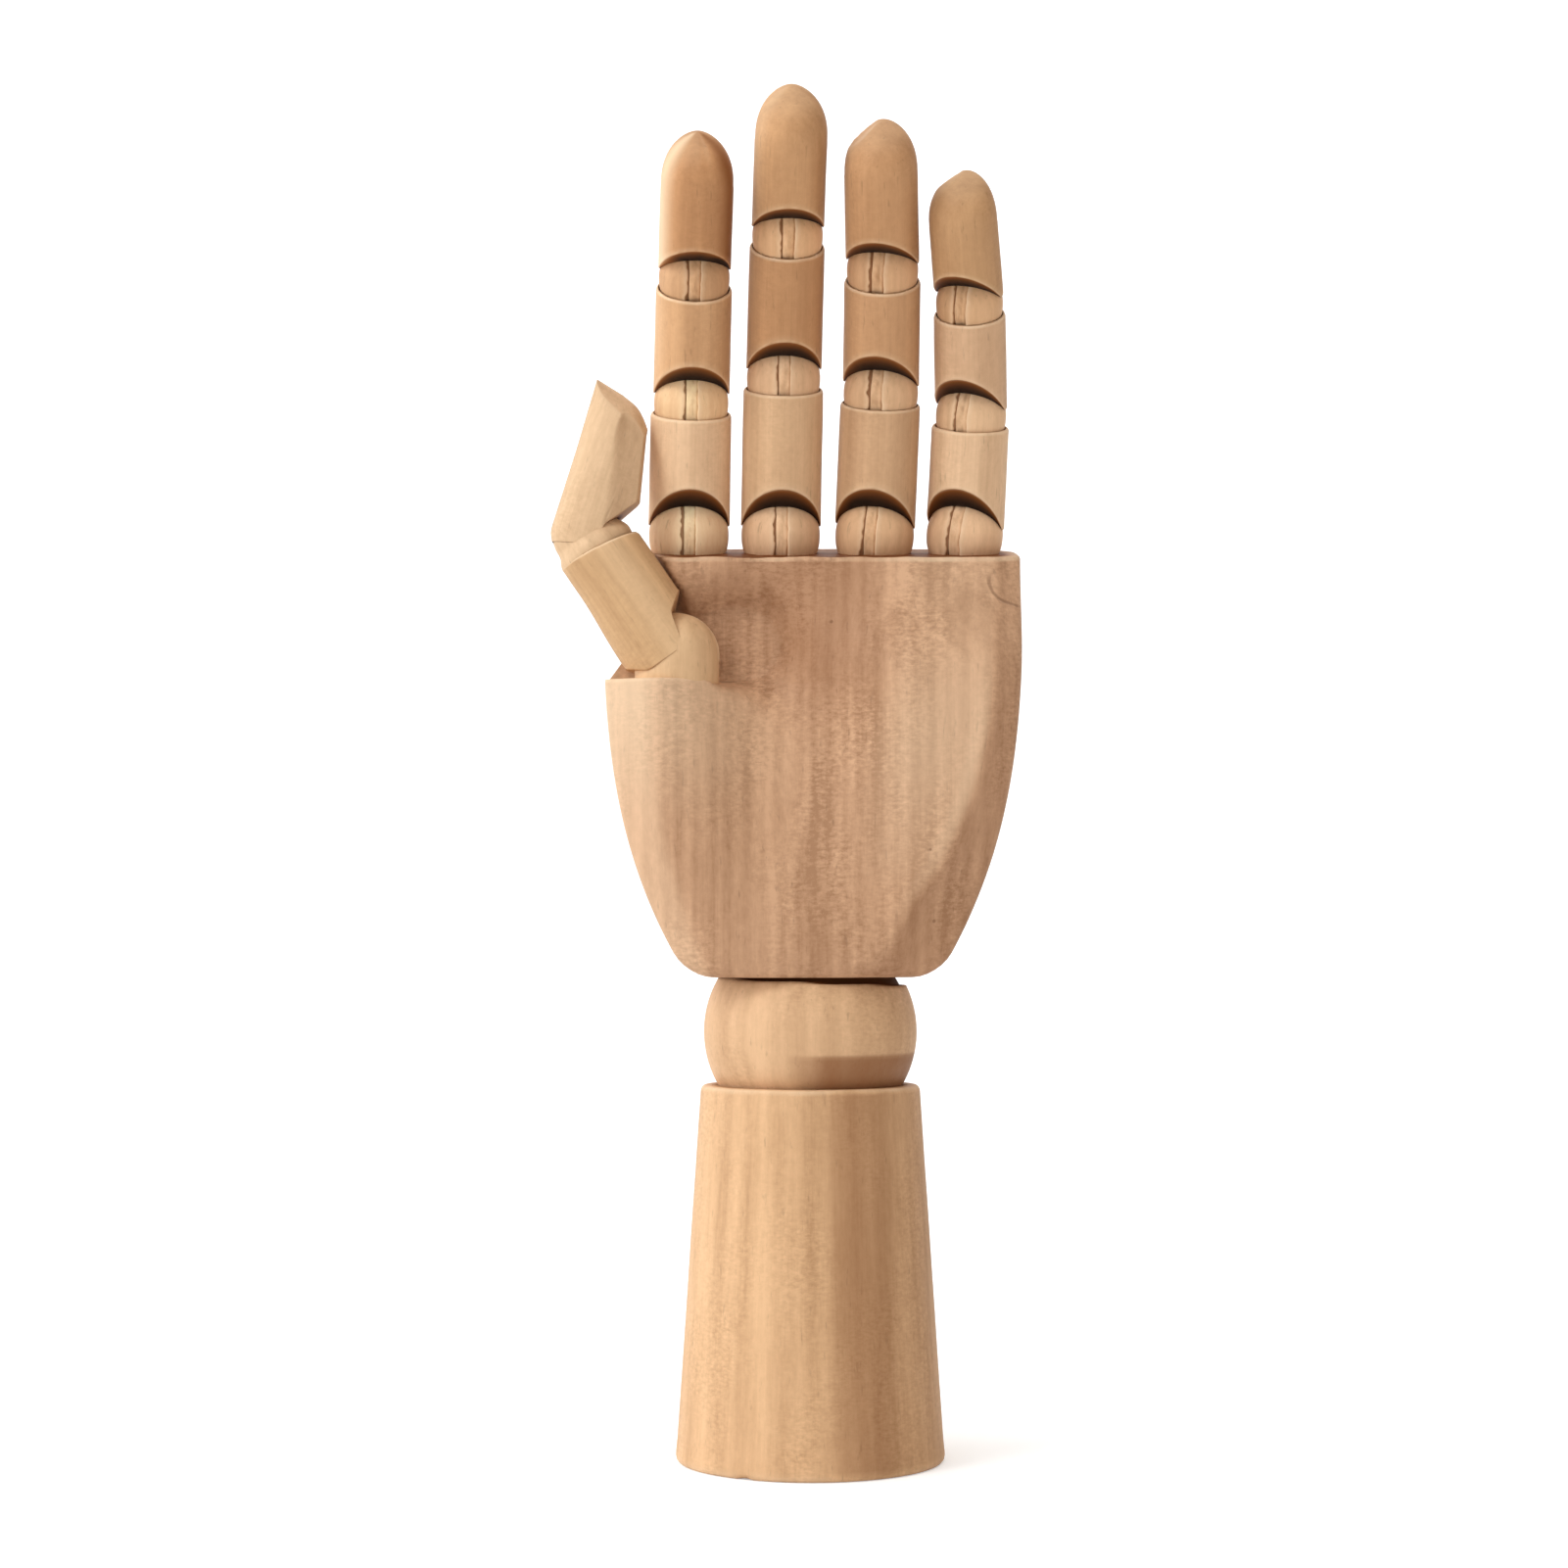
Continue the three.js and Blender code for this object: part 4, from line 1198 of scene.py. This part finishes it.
# Floor, light and camera, in metres
FLOOR_FRONT, FLOOR_BACK, FLOOR_HALF, WALL_TOP = -0.9, 0.55, 2.2, 1.8
WALL_CURVE, CURVE_STEPS = 0.35, 12
WORLD_LEFT, WORLD_RIGHT = 1.48, 0.41
WORLD_COOL, WORLD_WARM = (0.98, 1.0, 1.02, 1), (1.0, 0.89, 0.76, 1)
WHITE = (1, 1, 1, 1)
LAMP_COLOUR = (0.92, 0.98, 1.0)
AIM = Vector((0, 0, 0.13))
# The photo's width, focal length and height of the horizon in pixels, and the camera's place
PHOTO, FOCAL, HORIZON = 1601, 3200, 930
CAMERA_AT = (-0.0047, -0.560, 0.098)
SENSOR = 36.0


def pale_floor():
    """A matt surface that shows as near white to the camera and keeps shadows."""
    material = bpy.data.materials.new("pale_floor")
    graph = Graph(material)
    graph.surface(Base_Color=(0.86, 0.86, 0.86, 1), Roughness=0.9, Specular_IOR_Level=0.1,
                  Emission_Color=WHITE, Emission_Strength=graph.scaled(graph.seen(), 0.35))
    return material


def add_floor():
    """A floor that curves up into a wall behind."""
    rows = [(FLOOR_FRONT, 0.0), (FLOOR_BACK, 0.0)]
    for k in range(1, CURVE_STEPS + 1):
        a = pi / 2 * k / CURVE_STEPS
        rows.append((FLOOR_BACK + WALL_CURVE * sin(a), WALL_CURVE * (1 - cos(a))))
    rows.append((FLOOR_BACK + WALL_CURVE, WALL_TOP))
    points = [(side * FLOOR_HALF, y, z) for y, z in rows for side in (-1, 1)]
    faces = [(2 * i, 2 * i + 1, 2 * i + 3, 2 * i + 2) for i in range(len(rows) - 1)]
    mesh = bpy.data.meshes.new("floor")
    mesh.from_pydata(points, [], faces)
    mesh.polygons.foreach_set("use_smooth", [True] * len(faces))
    mesh.materials.append(pale_floor())
    floor = placed("floor", mesh)


def add_world():
    """Light, brighter from the left and warmer from the right; plain white where it is seen."""
    world = bpy.data.worlds.new("studio")
    bpy.context.scene.world = world
    graph = Graph(world)
    sky = graph.nodes.new("ShaderNodeTexCoord").outputs["Generated"]
    side = graph.node("ShaderNodeSeparateXYZ", Vector=sky).outputs["X"]
    light = graph.nodes["Background"]
    graph.put(graph.remap(side, -1.0, 1.0, WORLD_LEFT, WORLD_RIGHT), light.inputs["Strength"])
    graph.put(graph.blend(graph.remap(side, -0.3, 0.9), WORLD_COOL, WORLD_WARM), light.inputs["Color"])
    pale = graph.node("ShaderNodeBackground", Color=WHITE, Strength=1.0)
    either = graph.nodes.new("ShaderNodeMixShader")
    for k, value in enumerate((graph.seen(), light.outputs[0], pale.outputs[0])):
        graph.put(value, either.inputs[k])
    graph.put(either.outputs[0], graph.nodes["World Output"].inputs["Surface"])


def add_lamp(name, at, size, power):
    data = bpy.data.lights.new(name, "AREA")
    data.shape = "DISK"
    data.size = size
    data.energy = power
    data.color = LAMP_COLOUR
    lamp = placed(name, data)
    lamp.location = at
    lamp.rotation_euler = (AIM - Vector(at)).to_track_quat("-Z", "Y").to_euler()


def add_camera():
    """The photo's view: level, with the frame shifted up."""
    data = bpy.data.cameras.new("camera")
    data.sensor_width = SENSOR
    data.lens = SENSOR * FOCAL / PHOTO
    data.shift_y = (HORIZON - PHOTO / 2) / PHOTO
    data.clip_start = 0.01
    data.clip_end = 10
    camera = placed("camera", data)
    camera.location = CAMERA_AT
    camera.rotation_euler = (pi / 2, 0, 0)
    bpy.context.scene.camera = camera


add_floor()
add_world()
add_lamp("key", (-0.70, -0.62, 0.90), 0.42, 3.9)
add_lamp("side", (-1.05, 0.10, 0.30), 0.40, 2.2)
add_camera()
bpy.context.scene.view_settings.view_transform = "Standard"
